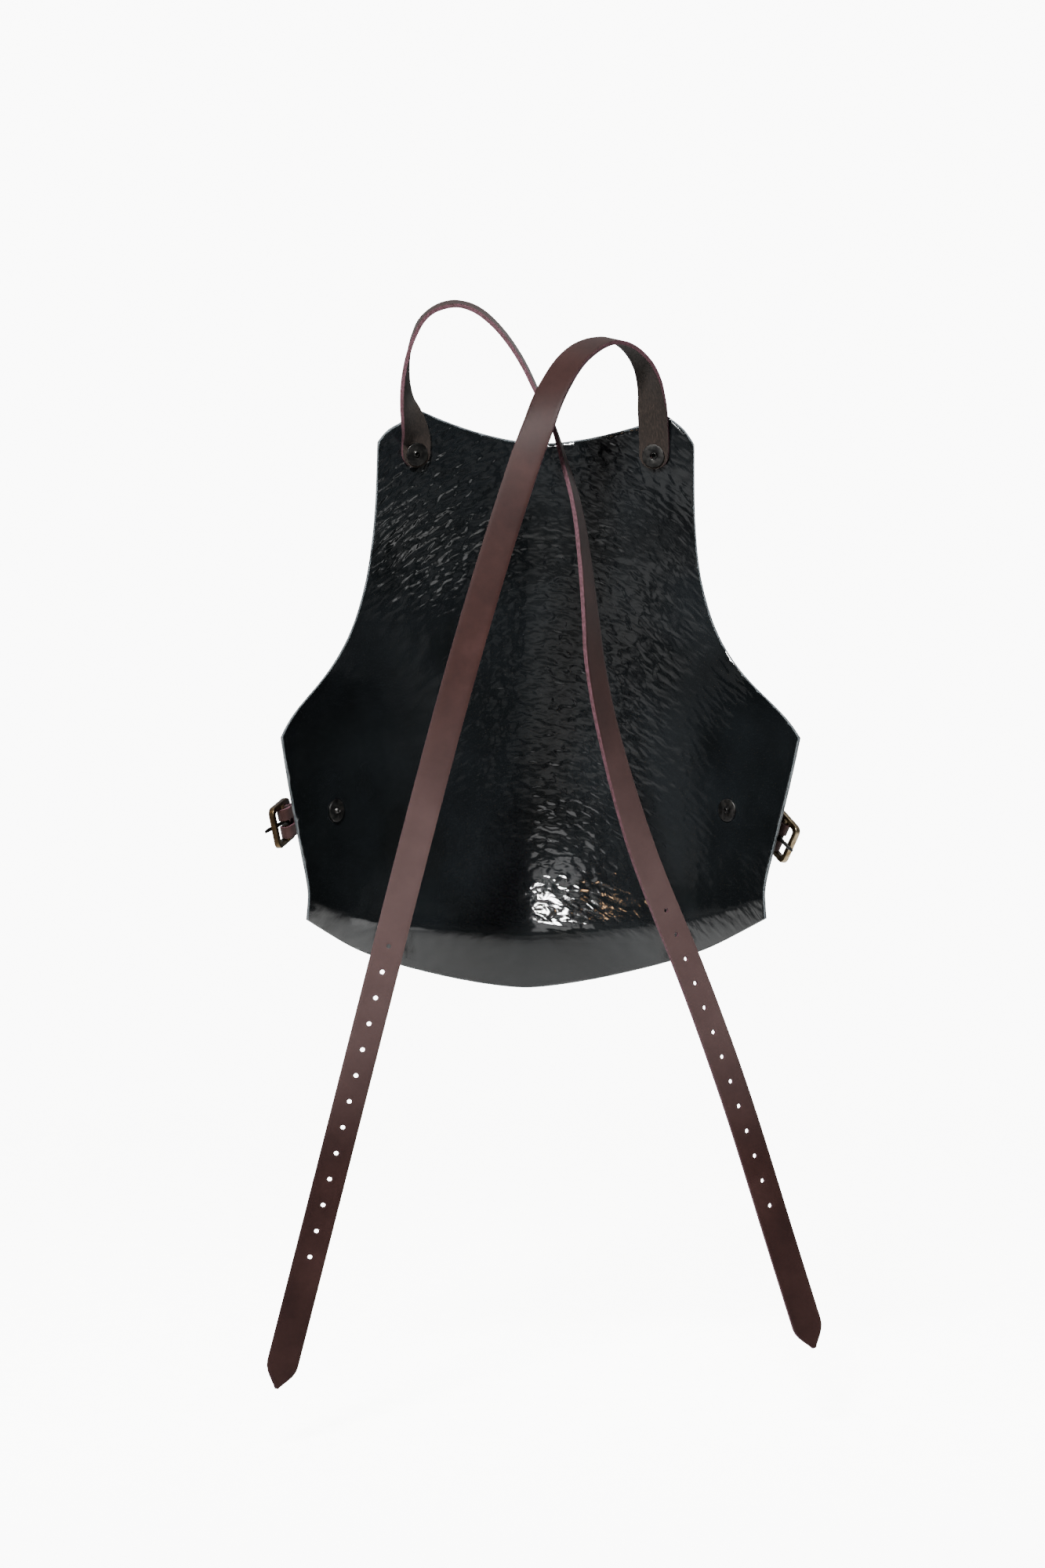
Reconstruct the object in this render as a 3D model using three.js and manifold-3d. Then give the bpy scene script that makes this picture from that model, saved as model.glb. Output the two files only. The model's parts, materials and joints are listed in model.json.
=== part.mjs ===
// A steel breastplate with two long leather shoulder straps and a buckle at each side.
// Millimetres, +Z up. The plate bulges towards -Y, the wearer stands on its +Y side, and the
// wearer's left is +X. The origin lies midway between the two shoulder rivets.
import * as THREE from 'three';
import { mergeVertices } from 'three/addons/utils/BufferGeometryUtils.js';
import Module from 'manifold-3d';

const wasm = await Module();
wasm.setup();

// Plate
const plateThickness = 1.6;
const plateHalfWidth = 188; // ridge to the corner below the armhole
const plateDrop = 402; // rivet line down to the tip of the flange
const chestDepth = 84; // shoulder rivets forward to the deepest stretch of the ridge
const flangeHeight = 43; // at the ridge
const flangeRise = 57.5; // the flange's lower edge, from its tip up to its side corners
const flangeFlare = 27; // degrees forward, at the ridge
const neckHalfWidth = 90; // middle of the neckline to each peak beside it
const neckShift = -7; // the neckline is cut off centre, towards the wearer's right
const neckHeight = 10; // lowest point of the neckline above the rivets
const leftNeckRise = 21.3; // from there up to the peaks
const rightNeckRise = 18.8;
const neckCurve = 1.65; // 2 would be a parabola
const shoulderCorner = 12; // outer shoulder corners above the rivets
const cornerRound = 7;
const flangeCurve = 1.3; // above 1 the flare grows towards the lower edge
const edgeFade = 3; // how soon the rows of the sheet leave the curve of its top and waist
const rowStep = 14;
const columnsPerSide = 16;
const flangeRows = 5;

// Straps
const strapWidth = 22.5;
const strapThickness = 3;
const leftStrapLength = 966;
const rightStrapLength = 936;
const strapTip = 18;
const strapEnd = 0.12; // width of the very tip, a share of the strap's
const strapTipCurve = 1.2;
const strapHole = 2.25; // radius
const strapHolePitch = 19;
const strapHoleCount = 13;
const leftHoleFromTip = 109;
const rightHoleFromTip = 96.5;
const strapEndMargin = 10; // rivet to the strap's round end
const seatGap = 1; // a strap stays flat this far past its washer
const strapRoom = 0.1; // more room under a strap, where the plate curves across it
const twistLength = 275; // the strap curls and twists this far past its rivet
const twistStep = 12;
const hangStep = 23;
const shoulderRivetAcross = 89.7;
const leftLoopHeight = 107;
const leftStandOff = 65;
const rightLoopHeight = 79;
const rightStandOff = 100;
const hangSpread = 100; // sideways reach of the hanging straps
const hangDrop = 300; // height of that stretch

// Rivets and washers
const clearance = 0.3;
const rivetShank = 2; // radius
const rivetHole = rivetShank + clearance;
const rivetHead = 6; // radius
const rivetDome = 2.6;
const rivetPeen = 3.3; // radius
const peenHeight = 1.3;
const washerRadius = 8.5;
const washerThickness = 1.3;
const washerEdge = 0.4;
const roundSides = 14;
const holeSides = 8;
const drillLength = 12; // long enough for every hole that is cut

// Side buckles
const leftRivetInset = 39.3; // side rivet to the level of the plate's corner
const rightRivetInset = 42.5;
const sideRivetHeight = 137.5; // above the tip of the flange
const chapeWidth = 22;
const chapeLeather = 2.5;
const leftReach = 53; // rivet to the buckle's bar
const rightReach = 50;
const chapeBend = 18; // degrees that the leather sags in its own plane, from the rivet to the bar
const chapeRoom = 0.15; // more room under the leather, where the plate curves below it
const chapeFlare = 11; // length over which the two layers part for the bar
const foldStep = 20; // degrees
const leftDroop = 8; // degrees that the bar lies below the rivet, from the plate's own level
const rightDroop = 20.7;
const barRadius = 1.7;
const barSides = 10;
const barClearance = 0.35;
const frameHeight = 31;
const frameLength = 32;
const frameBar = 4.2; // width of the four sides
const frameThickness = 4;
const frameRound = 5.2;
const frameInnerRound = 2.8;
const frameBevel = 0.9;
const frameCurve = 3; // flats round each corner
const frameLift = 0.4; // the back of the frame above the bar's axis
const tongueReach = 21;
const tongueTaper = 4.5;
const tongueTip = 1; // thickness
const tongueWidth = 3;
const tongueThickness = 2;
const eyeWall = 1.3;
const eyeCurve = 7; // flats round the eye
const slotClearance = 1;
const slotLength = 13;

// Plate sections, from the shoulder down. down is a share of the drop to the waist at the sides,
// width and radius are shares of the plate's half width, keel is the ridge's slope in degrees and
// depth is a share of the chest depth.
const sections = [
  { down: -0.12, width: 0.622, radius: 1.62, keel: 4, depth: 0.16 },
  { down: -0.03, width: 0.624, radius: 1.58, keel: 4, depth: 0.21 },
  { down: 0.11, width: 0.63, radius: 1.52, keel: 4.6, depth: 0.35 },
  { down: 0.25, width: 0.654, radius: 1.46, keel: 5.3, depth: 0.56 },
  { down: 0.36, width: 0.698, radius: 1.41, keel: 6, depth: 0.67 },
  { down: 0.43, width: 0.745, radius: 1.37, keel: 6.4, depth: 0.74 },
  { down: 0.5, width: 0.817, radius: 1.33, keel: 6.7, depth: 0.8 },
  { down: 0.54, width: 0.871, radius: 1.3, keel: 6.9, depth: 0.835 },
  { down: 0.576, width: 0.925, radius: 1.28, keel: 7, depth: 0.865 },
  { down: 0.615, width: 0.973, radius: 1.26, keel: 7.2, depth: 0.89 },
  { down: 0.65, width: 1, radius: 1.25, keel: 7.4, depth: 0.915 },
  { down: 0.69, width: 0.99, radius: 1.25, keel: 7.6, depth: 0.94 },
  { down: 0.79, width: 0.961, radius: 1.255, keel: 8, depth: 0.985 },
  { down: 0.93, width: 0.915, radius: 1.26, keel: 8, depth: 0.995 },
  { down: 1, width: 0.894, radius: 1.28, keel: 8, depth: 0.95 },
  { down: 1.11, width: 0.894, radius: 1.3, keel: 8, depth: 0.8 },
];

// The flange's lower edge. across is a share of the half width at the waist, rise a share of the
// flange's rise, height a share of its height and flare a share of its flare.
const flangeEdge = [
  { across: 0, rise: 0, height: 1, flare: 1 },
  { across: 0.16, rise: 0.068, height: 0.95, flare: 0.97 },
  { across: 0.5, rise: 0.306, height: 0.79, flare: 0.75 },
  { across: 0.76, rise: 0.577, height: 0.61, flare: 0.5 },
  { across: 0.9, rise: 0.81, height: 0.48, flare: 0.32 },
  { across: 1, rise: 1, height: 0.45, flare: 0.18 },
];

// Routes of the straps' middle lines. In over, from the plate to where the straps cross, across is
// a share of the rivets' distance from the ridge, back of the strap's stand-off and up of its
// loop's height. In fall, across is a share of the hanging spread and down of the hanging drop.
// turn is how far the flesh side has turned from someone behind the wearer, in degrees.
const leftRoute = {
  side: 1,
  length: leftStrapLength,
  holeFromTip: leftHoleFromTip,
  loopHeight: leftLoopHeight,
  standOff: leftStandOff,
  over: [
    { across: 1.01, back: 0.2, up: 0.17, turn: 34 },
    { across: 1.04, back: 0.3, up: 0.25, turn: 48 },
    { across: 1.07, back: 0.355, up: 0.345, turn: 66 },
    { across: 1.08, back: 0.38, up: 0.52, turn: 81 },
    { across: 1.05, back: 0.4, up: 0.69, turn: 90 },
    { across: 0.957, back: 0.43, up: 0.883, turn: 98 },
    { across: 0.856, back: 0.46, up: 0.96, turn: 102 },
    { across: 0.687, back: 0.53, up: 0.995, turn: 106 },
    { across: 0.513, back: 0.61, up: 0.95, turn: 106 },
    { across: 0.324, back: 0.67, up: 0.81, turn: 104 },
    { across: 0.148, back: 0.72, up: 0.595, turn: 102 },
    { across: 0.025, back: 0.76, up: 0.38, turn: 100 },
  ],
  fall: [
    { across: -0.088, back: 0.79, down: -0.059, turn: 98 },
    { across: -0.175, back: 0.83, down: 0.037, turn: 103 },
    { across: -0.268, back: 0.86, down: 0.151, turn: 109 },
    { across: -0.348, back: 0.91, down: 0.366, turn: 119 },
    { across: -0.39, back: 0.94, down: 0.522, turn: 129 },
    { across: -0.488, back: 0.96, down: 0.693, turn: 135 },
    { across: -0.724, back: 0.985, down: 0.968, turn: 150 },
    { across: -1.129, back: 1, down: 1.31, turn: 160 },
    { across: -1.416, back: 1, down: 1.577, turn: 165 },
    { across: -1.775, back: 1, down: 1.958, turn: 165 },
  ],
};
const rightRoute = {
  side: -1,
  length: rightStrapLength,
  holeFromTip: rightHoleFromTip,
  loopHeight: rightLoopHeight,
  standOff: rightStandOff,
  over: [
    { across: 0.963, back: 0.135, up: 0.39, turn: -27 },
    { across: 0.953, back: 0.17, up: 0.5, turn: -38 },
    { across: 0.93, back: 0.22, up: 0.64, turn: -50 },
    { across: 0.87, back: 0.29, up: 0.8, turn: -66 },
    { across: 0.755, back: 0.39, up: 0.935, turn: -84 },
    { across: 0.613, back: 0.49, up: 0.994, turn: -101 },
    { across: 0.455, back: 0.61, up: 0.957, turn: -118 },
    { across: 0.291, back: 0.74, up: 0.834, turn: -134 },
    { across: 0.181, back: 0.82, up: 0.69, turn: -143 },
    { across: 0.095, back: 0.88, up: 0.53, turn: -149 },
    { across: 0.022, back: 0.93, up: 0.367, turn: -155 },
  ],
  fall: [
    { across: -0.04, back: 0.97, down: -0.043, turn: -162 },
    { across: -0.126, back: 0.99, down: 0.033, turn: -170 },
    { across: -0.345, back: 1, down: 0.257, turn: -178 },
    { across: -0.608, back: 0.99, down: 0.556, turn: -180 },
    { across: -0.848, back: 0.97, down: 0.854, turn: -180 },
    { across: -1.673, back: 0.95, down: 1.933, turn: -180 },
  ],
};

// Profiles of a rivet's head and of its hammered end. out is a share of the radius, high of the height.
const domeProfile = [
  { out: 0, high: 1 },
  { out: 0.55, high: 0.82 },
  { out: 0.9, high: 0.38 },
  { out: 1, high: 0 },
];
const peenProfile = [
  { out: 1, high: 0 },
  { out: 0.86, high: 0.75 },
  { out: 0.45, high: 1 },
  { out: 0, high: 0.55 },
];
const endAngles = [0, 22, 42, 62, 90]; // degrees round a round end
const endFlat = 0.6; // half the width of the flat at its very end
const tipShares = [0.4, 0.7, 0.9, 1]; // of the strap's tip

const towardsViewer = new THREE.Vector3(0, 1, 0);
const up = new THREE.Vector3(0, 0, 1);
const radians = THREE.MathUtils.degToRad;

function material(colour, roughness, metalness) {
  return new THREE.MeshStandardMaterial({ color: colour, roughness, metalness, side: THREE.DoubleSide });
}
const blackSteel = () => material(0x2b2c2e, 0.35, 0.6);
const blackenedSteel = () => material(0x3a3a39, 0.5, 0.8);
const strapLeather = () => material(0x4a2c2a, 0.6, 0);
const agedBrass = () => material(0x6d5a3c, 0.45, 0.9);

// A smooth curve through two columns of a table that doesn't overshoot the rows.
function tableCurve(rows, input, output) {
  const x = rows.map((row) => row[input]);
  const y = rows.map((row) => row[output]);
  const last = rows.length - 1;
  const slope = (k) => (y[k + 1] - y[k]) / (x[k + 1] - x[k]);
  const tangent = (k) => {
    if (k === 0) return slope(0);
    if (k === last) return slope(last - 1);
    const before = slope(k - 1);
    const after = slope(k);
    return before * after <= 0 ? 0 : (2 * before * after) / (before + after);
  };
  return (value) => {
    let k = 0;
    while (k < last - 1 && value > x[k + 1]) k += 1;
    const width = x[k + 1] - x[k];
    const t = THREE.MathUtils.clamp((value - x[k]) / width, 0, 1);
    const rise = t * t * (3 - 2 * t);
    const lead = t * (1 - t) * (1 - t) * width;
    const trail = -t * t * (1 - t) * width;
    return y[k] + (y[k + 1] - y[k]) * rise + tangent(k) * lead + tangent(k + 1) * trail;
  };
}

// Even steps from one value to another, without the first.
function steps(from, to, step) {
  const count = Math.max(1, Math.round(Math.abs(to - from) / step));
  return Array.from({ length: count }, (_, k) => from + ((to - from) * (k + 1)) / count);
}

// Plate

const flangeRiseAt = tableCurve(flangeEdge, 'across', 'rise');
const flangeHeightAt = tableCurve(flangeEdge, 'across', 'height');
const flangeFlareAt = tableCurve(flangeEdge, 'across', 'flare');
const waistDrop = plateDrop - flangeRise - flangeHeight * flangeHeightAt(1);

const widthAt = tableCurve(sections, 'down', 'width');
const radiusAt = tableCurve(sections, 'down', 'radius');
const keelAt = tableCurve(sections, 'down', 'keel');
const depthAt = tableCurve(sections, 'down', 'depth');

function sectionAt(z) {
  const down = -z / waistDrop;
  return {
    halfWidth: plateHalfWidth * widthAt(down),
    radius: plateHalfWidth * radiusAt(down),
    keel: radians(keelAt(down)),
    ridge: -chestDepth * depthAt(down),
  };
}

// A section is an arc on each side of the ridge. angle is the arc's own angle from straight ahead.
function arcPoint(section, side, angle, z) {
  const x = section.radius * (Math.sin(angle) - Math.sin(section.keel));
  const y = section.ridge + section.radius * (Math.cos(section.keel) - Math.cos(angle));
  return new THREE.Vector3(side * x, y, z);
}

function arcAngle(section, across) {
  return Math.asin(Math.abs(across) / section.radius + Math.sin(section.keel));
}

function pointAcross(x, z) {
  const section = sectionAt(z);
  return arcPoint(section, Math.sign(x), arcAngle(section, x), z);
}

const plateShift = new THREE.Vector3(0, -pointAcross(shoulderRivetAcross, 0).y, 0);

// A spot on the plate's middle surface: its place, the normal towards the wearer and the
// directions up and back along the sheet.
function plateSpot(x, z) {
  const reach = 0.5;
  const place = pointAcross(x, z).add(plateShift);
  const upward = pointAcross(x, z + reach).sub(pointAcross(x, z - reach)).normalize();
  const outward = pointAcross(x + reach, z).sub(pointAcross(x - reach, z)).normalize();
  const inward = new THREE.Vector3().crossVectors(upward, outward).normalize();
  return { place, upward, inward };
}

function necklineAt(x) {
  const fromMiddle = Math.abs(x - neckShift);
  const rise = x > neckShift ? leftNeckRise : rightNeckRise;
  if (fromMiddle <= neckHalfWidth) {
    return neckHeight + rise * (fromMiddle / neckHalfWidth) ** neckCurve;
  }
  const shoulderWidth = plateHalfWidth * widthAt(0);
  const peak = neckShift + Math.sign(x) * neckHalfWidth;
  const share = (x - peak) / (Math.sign(x) * shoulderWidth - peak);
  const straight = neckHeight + rise + (shoulderCorner - neckHeight - rise) * share;
  const inCorner = Math.max(0, cornerRound - (shoulderWidth - Math.abs(x)));
  return straight - cornerRound + Math.sqrt(cornerRound ** 2 - inCorner ** 2);
}

// Columns run down the plate and meet the neckline's peaks. Shares of the half width.
function columnShares() {
  const shoulderWidth = plateHalfWidth * widthAt(0);
  const shares = [0];
  for (const side of [-1, 1]) {
    const peak = Math.abs(neckShift + side * neckHalfWidth) / shoulderWidth;
    const inner = Math.floor(columnsPerSide * peak);
    const outer = columnsPerSide - inner;
    for (let k = 1; k <= inner; k += 1) shares.push((side * peak * k) / inner);
    for (let k = 1; k <= outer; k += 1) shares.push(side * (peak + ((1 - peak) * k) / outer));
  }
  return shares.sort((a, b) => a - b);
}

function rowHeights() {
  const top = shoulderCorner;
  const heights = [top];
  const stops = sections.map((row) => -row.down * waistDrop).filter((z) => z < 0 && z > -waistDrop);
  for (const stop of [...stops, -waistDrop]) {
    heights.push(...steps(heights[heights.length - 1], stop, rowStep));
  }
  return heights;
}

function bodyPoint(share, sideHeight) {
  const topSection = sectionAt(shoulderCorner);
  const waistSection = sectionAt(-waistDrop);
  const down = (shoulderCorner - sideHeight) / (shoulderCorner + waistDrop);
  const topLift = necklineAt(share * topSection.halfWidth) - shoulderCorner;
  const waistSpot = arcPoint(waistSection, 1, angleAt(waistSection, share), -waistDrop);
  const across = waistSpot.x / waistSection.halfWidth;
  const crease = -plateDrop + flangeRise * flangeRiseAt(across) + flangeHeight * flangeHeightAt(across);
  const waistDip = crease + waistDrop;
  const z = sideHeight + topLift * (1 - down) ** edgeFade + waistDip * down ** edgeFade;
  const section = sectionAt(z);
  return arcPoint(section, Math.sign(share), angleAt(section, share), z);
}

// The angle of the arc at a share of the way from the ridge to the side edge.
function angleAt(section, share) {
  const edge = arcAngle(section, section.halfWidth);
  return section.keel + Math.abs(share) * (edge - section.keel);
}

function flangePoint(share, row) {
  const crease = bodyPoint(share, -waistDrop);
  const section = sectionAt(crease.z);
  const across = Math.min(1, Math.abs(crease.x) / section.halfWidth);
  const angle = angleAt(section, share);
  const height = flangeHeight * flangeHeightAt(across);
  const flare = Math.tan(radians(flangeFlare * flangeFlareAt(across))) * height;
  const part = row / flangeRows;
  const push = flare * part ** flangeCurve;
  crease.x += Math.sign(share) * Math.sin(angle) * push;
  crease.y -= Math.cos(angle) * push;
  crease.z -= height * part;
  return crease;
}

function plateGeometry() {
  const shares = columnShares();
  const heights = rowHeights();
  const rows = heights.map((z) => shares.map((share) => bodyPoint(share, z)));
  for (let k = 1; k <= flangeRows; k += 1) rows.push(shares.map((share) => flangePoint(share, k)));
  return sheet(rows, plateThickness).translate(plateShift.x, plateShift.y, plateShift.z);
}

// A closed sheet of even thickness round a grid of middle points, rows from the top down and
// columns towards +X.
function sheet(rows, thickness) {
  const height = rows.length;
  const width = rows[0].length;
  const middle = rows.flat();
  const faces = [];
  for (let r = 0; r < height - 1; r += 1) {
    for (let c = 0; c < width - 1; c += 1) {
      const at = r * width + c;
      faces.push([at, at + width, at + width + 1], [at, at + width + 1, at + 1]);
    }
  }
  const flat = new THREE.BufferGeometry();
  flat.setAttribute('position', new THREE.Float32BufferAttribute(middle.flatMap((p) => [p.x, p.y, p.z]), 3));
  flat.setIndex(faces.flat());
  flat.computeVertexNormals();
  const normal = flat.getAttribute('normal');
  const corners = [];
  for (const way of [1, -1]) {
    middle.forEach((p, k) => {
      const n = new THREE.Vector3().fromBufferAttribute(normal, k);
      corners.push(p.clone().addScaledVector(n, (way * thickness) / 2));
    });
  }
  const back = middle.length;
  const index = faces.flatMap(([a, b, c]) => [a, b, c, back + a, back + c, back + b]);
  const rim = [];
  for (let c = 0; c < width; c += 1) rim.push(c);
  for (let r = 1; r < height; r += 1) rim.push(r * width + width - 1);
  for (let c = width - 2; c >= 0; c -= 1) rim.push((height - 1) * width + c);
  for (let r = height - 2; r > 0; r -= 1) rim.push(r * width);
  rim.forEach((from, k) => {
    const to = rim[(k + 1) % rim.length];
    index.push(from, to, back + to, from, back + to, back + from);
  });
  return solid(corners, index);
}

function solid(corners, index) {
  const geometry = new THREE.BufferGeometry();
  geometry.setAttribute('position', new THREE.Float32BufferAttribute(corners.flatMap((p) => [p.x, p.y, p.z]), 3));
  geometry.setIndex(index);
  return geometry;
}

// Cutting and joining

function body(geometry) {
  const bare = geometry.clone();
  bare.deleteAttribute('normal');
  bare.deleteAttribute('uv');
  const merged = mergeVertices(bare, 1e-4);
  return new wasm.Manifold(new wasm.Mesh({
    numProp: 3,
    vertProperties: new Float32Array(merged.getAttribute('position').array),
    triVerts: new Uint32Array(merged.getIndex().array),
  }));
}

function fromBody(joined) {
  const mesh = joined.getMesh();
  const geometry = new THREE.BufferGeometry();
  geometry.setAttribute('position', new THREE.BufferAttribute(new Float32Array(mesh.vertProperties), 3));
  geometry.setIndex(new THREE.BufferAttribute(new Uint32Array(mesh.triVerts), 1));
  return geometry;
}

function cut(geometry, tools) {
  let rest = body(geometry);
  for (const tool of tools) rest = rest.subtract(body(tool));
  return fromBody(rest);
}

// A round tool or bar along a direction, centred on a point.
function rod(radius, length, centre, direction, sides) {
  const geometry = new THREE.CylinderGeometry(radius, radius, length, sides);
  const turn = new THREE.Quaternion().setFromUnitVectors(new THREE.Vector3(0, 1, 0), direction);
  return geometry.applyQuaternion(turn).translate(centre.x, centre.y, centre.z);
}

// A flat strip through stations that each give its centre, the direction across it, its half width
// and the normal of its flesh side.
function ribbon(stations, thickness) {
  const corners = [];
  const index = [];
  for (const { centre, across, flesh, half } of stations) {
    for (const [a, f] of [[-1, -1], [1, -1], [1, 1], [-1, 1]]) {
      const corner = centre.clone().addScaledVector(across, a * half);
      corners.push(corner.addScaledVector(flesh, (f * thickness) / 2));
    }
  }
  const last = (stations.length - 1) * 4;
  for (let start = 0; start < last; start += 4) {
    for (let k = 0; k < 4; k += 1) {
      const a = start + k;
      const b = start + ((k + 1) % 4);
      index.push(a, a + 4, b + 4, a, b + 4, b);
    }
  }
  index.push(0, 1, 2, 0, 2, 3);
  index.push(last, last + 2, last + 1, last, last + 3, last + 2);
  return solid(corners, index);
}

// Half the width of a strip this far from its round end, which is cut off flat at the very end.
function roundEnd(distance, width) {
  const radius = width / 2;
  const fromCentre = radius - Math.min(distance, radius);
  return Math.max(Math.sqrt(radius ** 2 - fromCentre ** 2), endFlat);
}

function roundEndDistances(width) {
  return endAngles.map((degrees) => (width / 2) * (1 - Math.cos(radians(degrees))));
}

// Half the width of a shoulder strap this far from its pointed tip.
function pointedEnd(distance) {
  const share = Math.min(distance / strapTip, 1);
  const swell = Math.sin((share * Math.PI) / 2) ** strapTipCurve;
  return (strapWidth / 2) * (strapEnd + (1 - strapEnd) * swell);
}

// Shoulder straps

// Stations across the flesh side: turn is measured about the strap from a plane that faces +Y.
function strapFacing(tangent, turn) {
  const level = new THREE.Vector3().crossVectors(tangent, towardsViewer).normalize();
  const away = new THREE.Vector3().crossVectors(tangent, level);
  const across = level.multiplyScalar(Math.cos(turn)).addScaledVector(away, Math.sin(turn));
  const flesh = new THREE.Vector3().crossVectors(across, tangent);
  return { across, flesh };
}

function turnOf(tangent, flesh) {
  const level = new THREE.Vector3().crossVectors(tangent, towardsViewer).normalize();
  const facing = new THREE.Vector3().crossVectors(level, tangent);
  return THREE.MathUtils.radToDeg(Math.atan2(flesh.dot(level), flesh.dot(facing)));
}

const strapSeat = plateThickness / 2 + clearance + strapRoom + strapThickness / 2;
const seatLength = washerRadius + seatGap; // the strap stays flat on the plate this far past its rivet

function strapStart(side) {
  const spot = plateSpot(side * shoulderRivetAcross, 0);
  const seat = spot.place.clone().addScaledVector(spot.inward, strapSeat);
  return { spot, seat, turn: turnOf(spot.upward, spot.inward) };
}

function routePoints(route) {
  const { spot, seat, turn } = strapStart(route.side);
  const along = (distance) => seat.clone().addScaledVector(spot.upward, distance);
  const points = [
    { place: along(-strapEndMargin), turn },
    { place: seat, turn },
    { place: along(seatLength / 2), turn },
    { place: along(seatLength), turn },
  ];
  for (const row of route.over) {
    const place = new THREE.Vector3(
      route.side * row.across * shoulderRivetAcross,
      row.back * route.standOff,
      row.up * route.loopHeight,
    );
    points.push({ place, turn: row.turn });
  }
  for (const row of route.fall) {
    const place = new THREE.Vector3(
      route.side * row.across * hangSpread,
      row.back * route.standOff,
      -row.down * hangDrop,
    );
    points.push({ place, turn: row.turn });
  }
  return points;
}

// Past the route's last point the strap runs on straight to its full length.
function strapCourse(route) {
  const points = routePoints(route);
  const curve = new THREE.CatmullRomCurve3(points.map((point) => point.place), false, 'centripetal');
  curve.arcLengthDivisions = 1000;
  const curveLength = curve.getLength();
  const turns = points.map((point, order) => ({ order, turn: point.turn }));
  const turnAt = tableCurve(turns, 'order', 'turn');
  return (distance) => {
    const share = Math.min(distance / curveLength, 1);
    const beyond = Math.max(distance - curveLength, 0);
    const tangent = curve.getTangentAt(share);
    const centre = curve.getPointAt(share).addScaledVector(tangent, beyond);
    const order = curve.getUtoTmapping(share) * (points.length - 1);
    return { centre, tangent, ...strapFacing(tangent, radians(turnAt(order))) };
  };
}

function strapDistances(length) {
  const twistFrom = strapEndMargin + seatLength;
  const hangFrom = twistFrom + twistLength;
  const tipFrom = length - strapTip;
  return [
    ...roundEndDistances(strapWidth),
    twistFrom,
    ...steps(twistFrom, hangFrom, twistStep),
    ...steps(hangFrom, tipFrom, hangStep),
    ...tipShares.map((share) => tipFrom + strapTip * share),
  ];
}

function strapGeometry(route) {
  const course = strapCourse(route);
  const stations = strapDistances(route.length).map((distance) => ({
    ...course(distance),
    half: Math.min(roundEnd(distance, strapWidth), pointedEnd(route.length - distance)),
  }));
  const drill = (radius, distance) => {
    const { centre, flesh } = course(distance);
    return rod(radius, drillLength, centre, flesh, holeSides);
  };
  const tools = [drill(rivetHole, strapEndMargin)];
  for (let k = 0; k < strapHoleCount; k += 1) {
    tools.push(drill(strapHole, route.length - route.holeFromTip - k * strapHolePitch));
  }
  return cut(ribbon(stations, strapThickness), tools);
}

// Rivets and washers, each along its own +Z, which points into the hollow of the plate

function turned(profile) {
  const points = profile.map(([radius, along]) => new THREE.Vector2(radius, along));
  return new THREE.LatheGeometry(points, roundSides).rotateX(Math.PI / 2);
}

function rivetGeometry(headSeat, peenSeat) {
  return turned([
    ...domeProfile.map((row) => [rivetHead * row.out, headSeat - rivetDome * row.high]),
    [rivetShank, headSeat],
    [rivetShank, peenSeat],
    ...peenProfile.map((row) => [rivetPeen * row.out, peenSeat + peenHeight * row.high]),
  ]);
}

function washerGeometry(seat) {
  const top = seat + washerThickness;
  return turned([
    [rivetHole, seat],
    [washerRadius - washerEdge, seat],
    [washerRadius, seat + washerEdge],
    [washerRadius, top - washerEdge],
    [washerRadius - washerEdge, top],
    [rivetHole, top],
    [rivetHole, seat],
  ]);
}

function named(name, geometry, finish) {
  const mesh = new THREE.Mesh(geometry, finish);
  mesh.name = name;
  return mesh;
}

// A group whose +Z is the given normal and whose +Y leans as near as it can to the given direction.
function placed(place, normal, lean) {
  const group = new THREE.Group();
  const x = new THREE.Vector3().crossVectors(lean, normal).normalize();
  const y = new THREE.Vector3().crossVectors(normal, x);
  group.quaternion.setFromRotationMatrix(new THREE.Matrix4().makeBasis(x, y, normal));
  group.position.copy(place);
  return group;
}

function shoulderFastening(word, side) {
  const spot = plateSpot(side * shoulderRivetAcross, 0);
  const washerSeat = strapSeat + strapThickness / 2 + clearance;
  const group = placed(spot.place, spot.inward, spot.upward);
  group.add(named(
    `${word}_shoulder_rivet`,
    rivetGeometry(-plateThickness / 2 - clearance, washerSeat + washerThickness + clearance),
    blackenedSteel(),
  ));
  group.add(named(`${word}_shoulder_washer`, washerGeometry(washerSeat), blackenedSteel()));
  return group;
}

// Side buckles

const foldRadius = barRadius + barClearance + chapeLeather / 2;
const layerOffset = (chapeLeather + clearance) / 2;
const chapeStack = chapeLeather + layerOffset * 2;
const chapeSeat = plateThickness / 2 + clearance + chapeRoom + chapeStack / 2;

function sideSpot(side) {
  const inset = side > 0 ? leftRivetInset : rightRivetInset;
  return plateSpot(side * (plateHalfWidth - inset), sideRivetHeight - plateDrop);
}

function sideFastening(word, side) {
  const spot = sideSpot(side);
  const washerSeat = plateThickness / 2 + clearance;
  const group = placed(spot.place, spot.inward, spot.upward);
  group.add(named(
    `${word}_side_rivet`,
    rivetGeometry(-chapeSeat - chapeStack / 2 - clearance, washerSeat + washerThickness + clearance),
    blackenedSteel(),
  ));
  group.add(named(`${word}_side_washer`, washerGeometry(washerSeat), blackenedSteel()));
  return group;
}

// How the leather lies in its own plane: X runs from the rivet to the bar, and slope is how steeply
// it leaves the rivet towards +Y and comes down to the bar.
function lieAt(along, reach, slope) {
  if (along < 0) return { aside: slope * along, lean: slope };
  if (along > reach) return { aside: slope * (reach - along), lean: -slope };
  const share = along / reach;
  return { aside: slope * along * (1 - share), lean: slope * (1 - 2 * share) };
}

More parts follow.
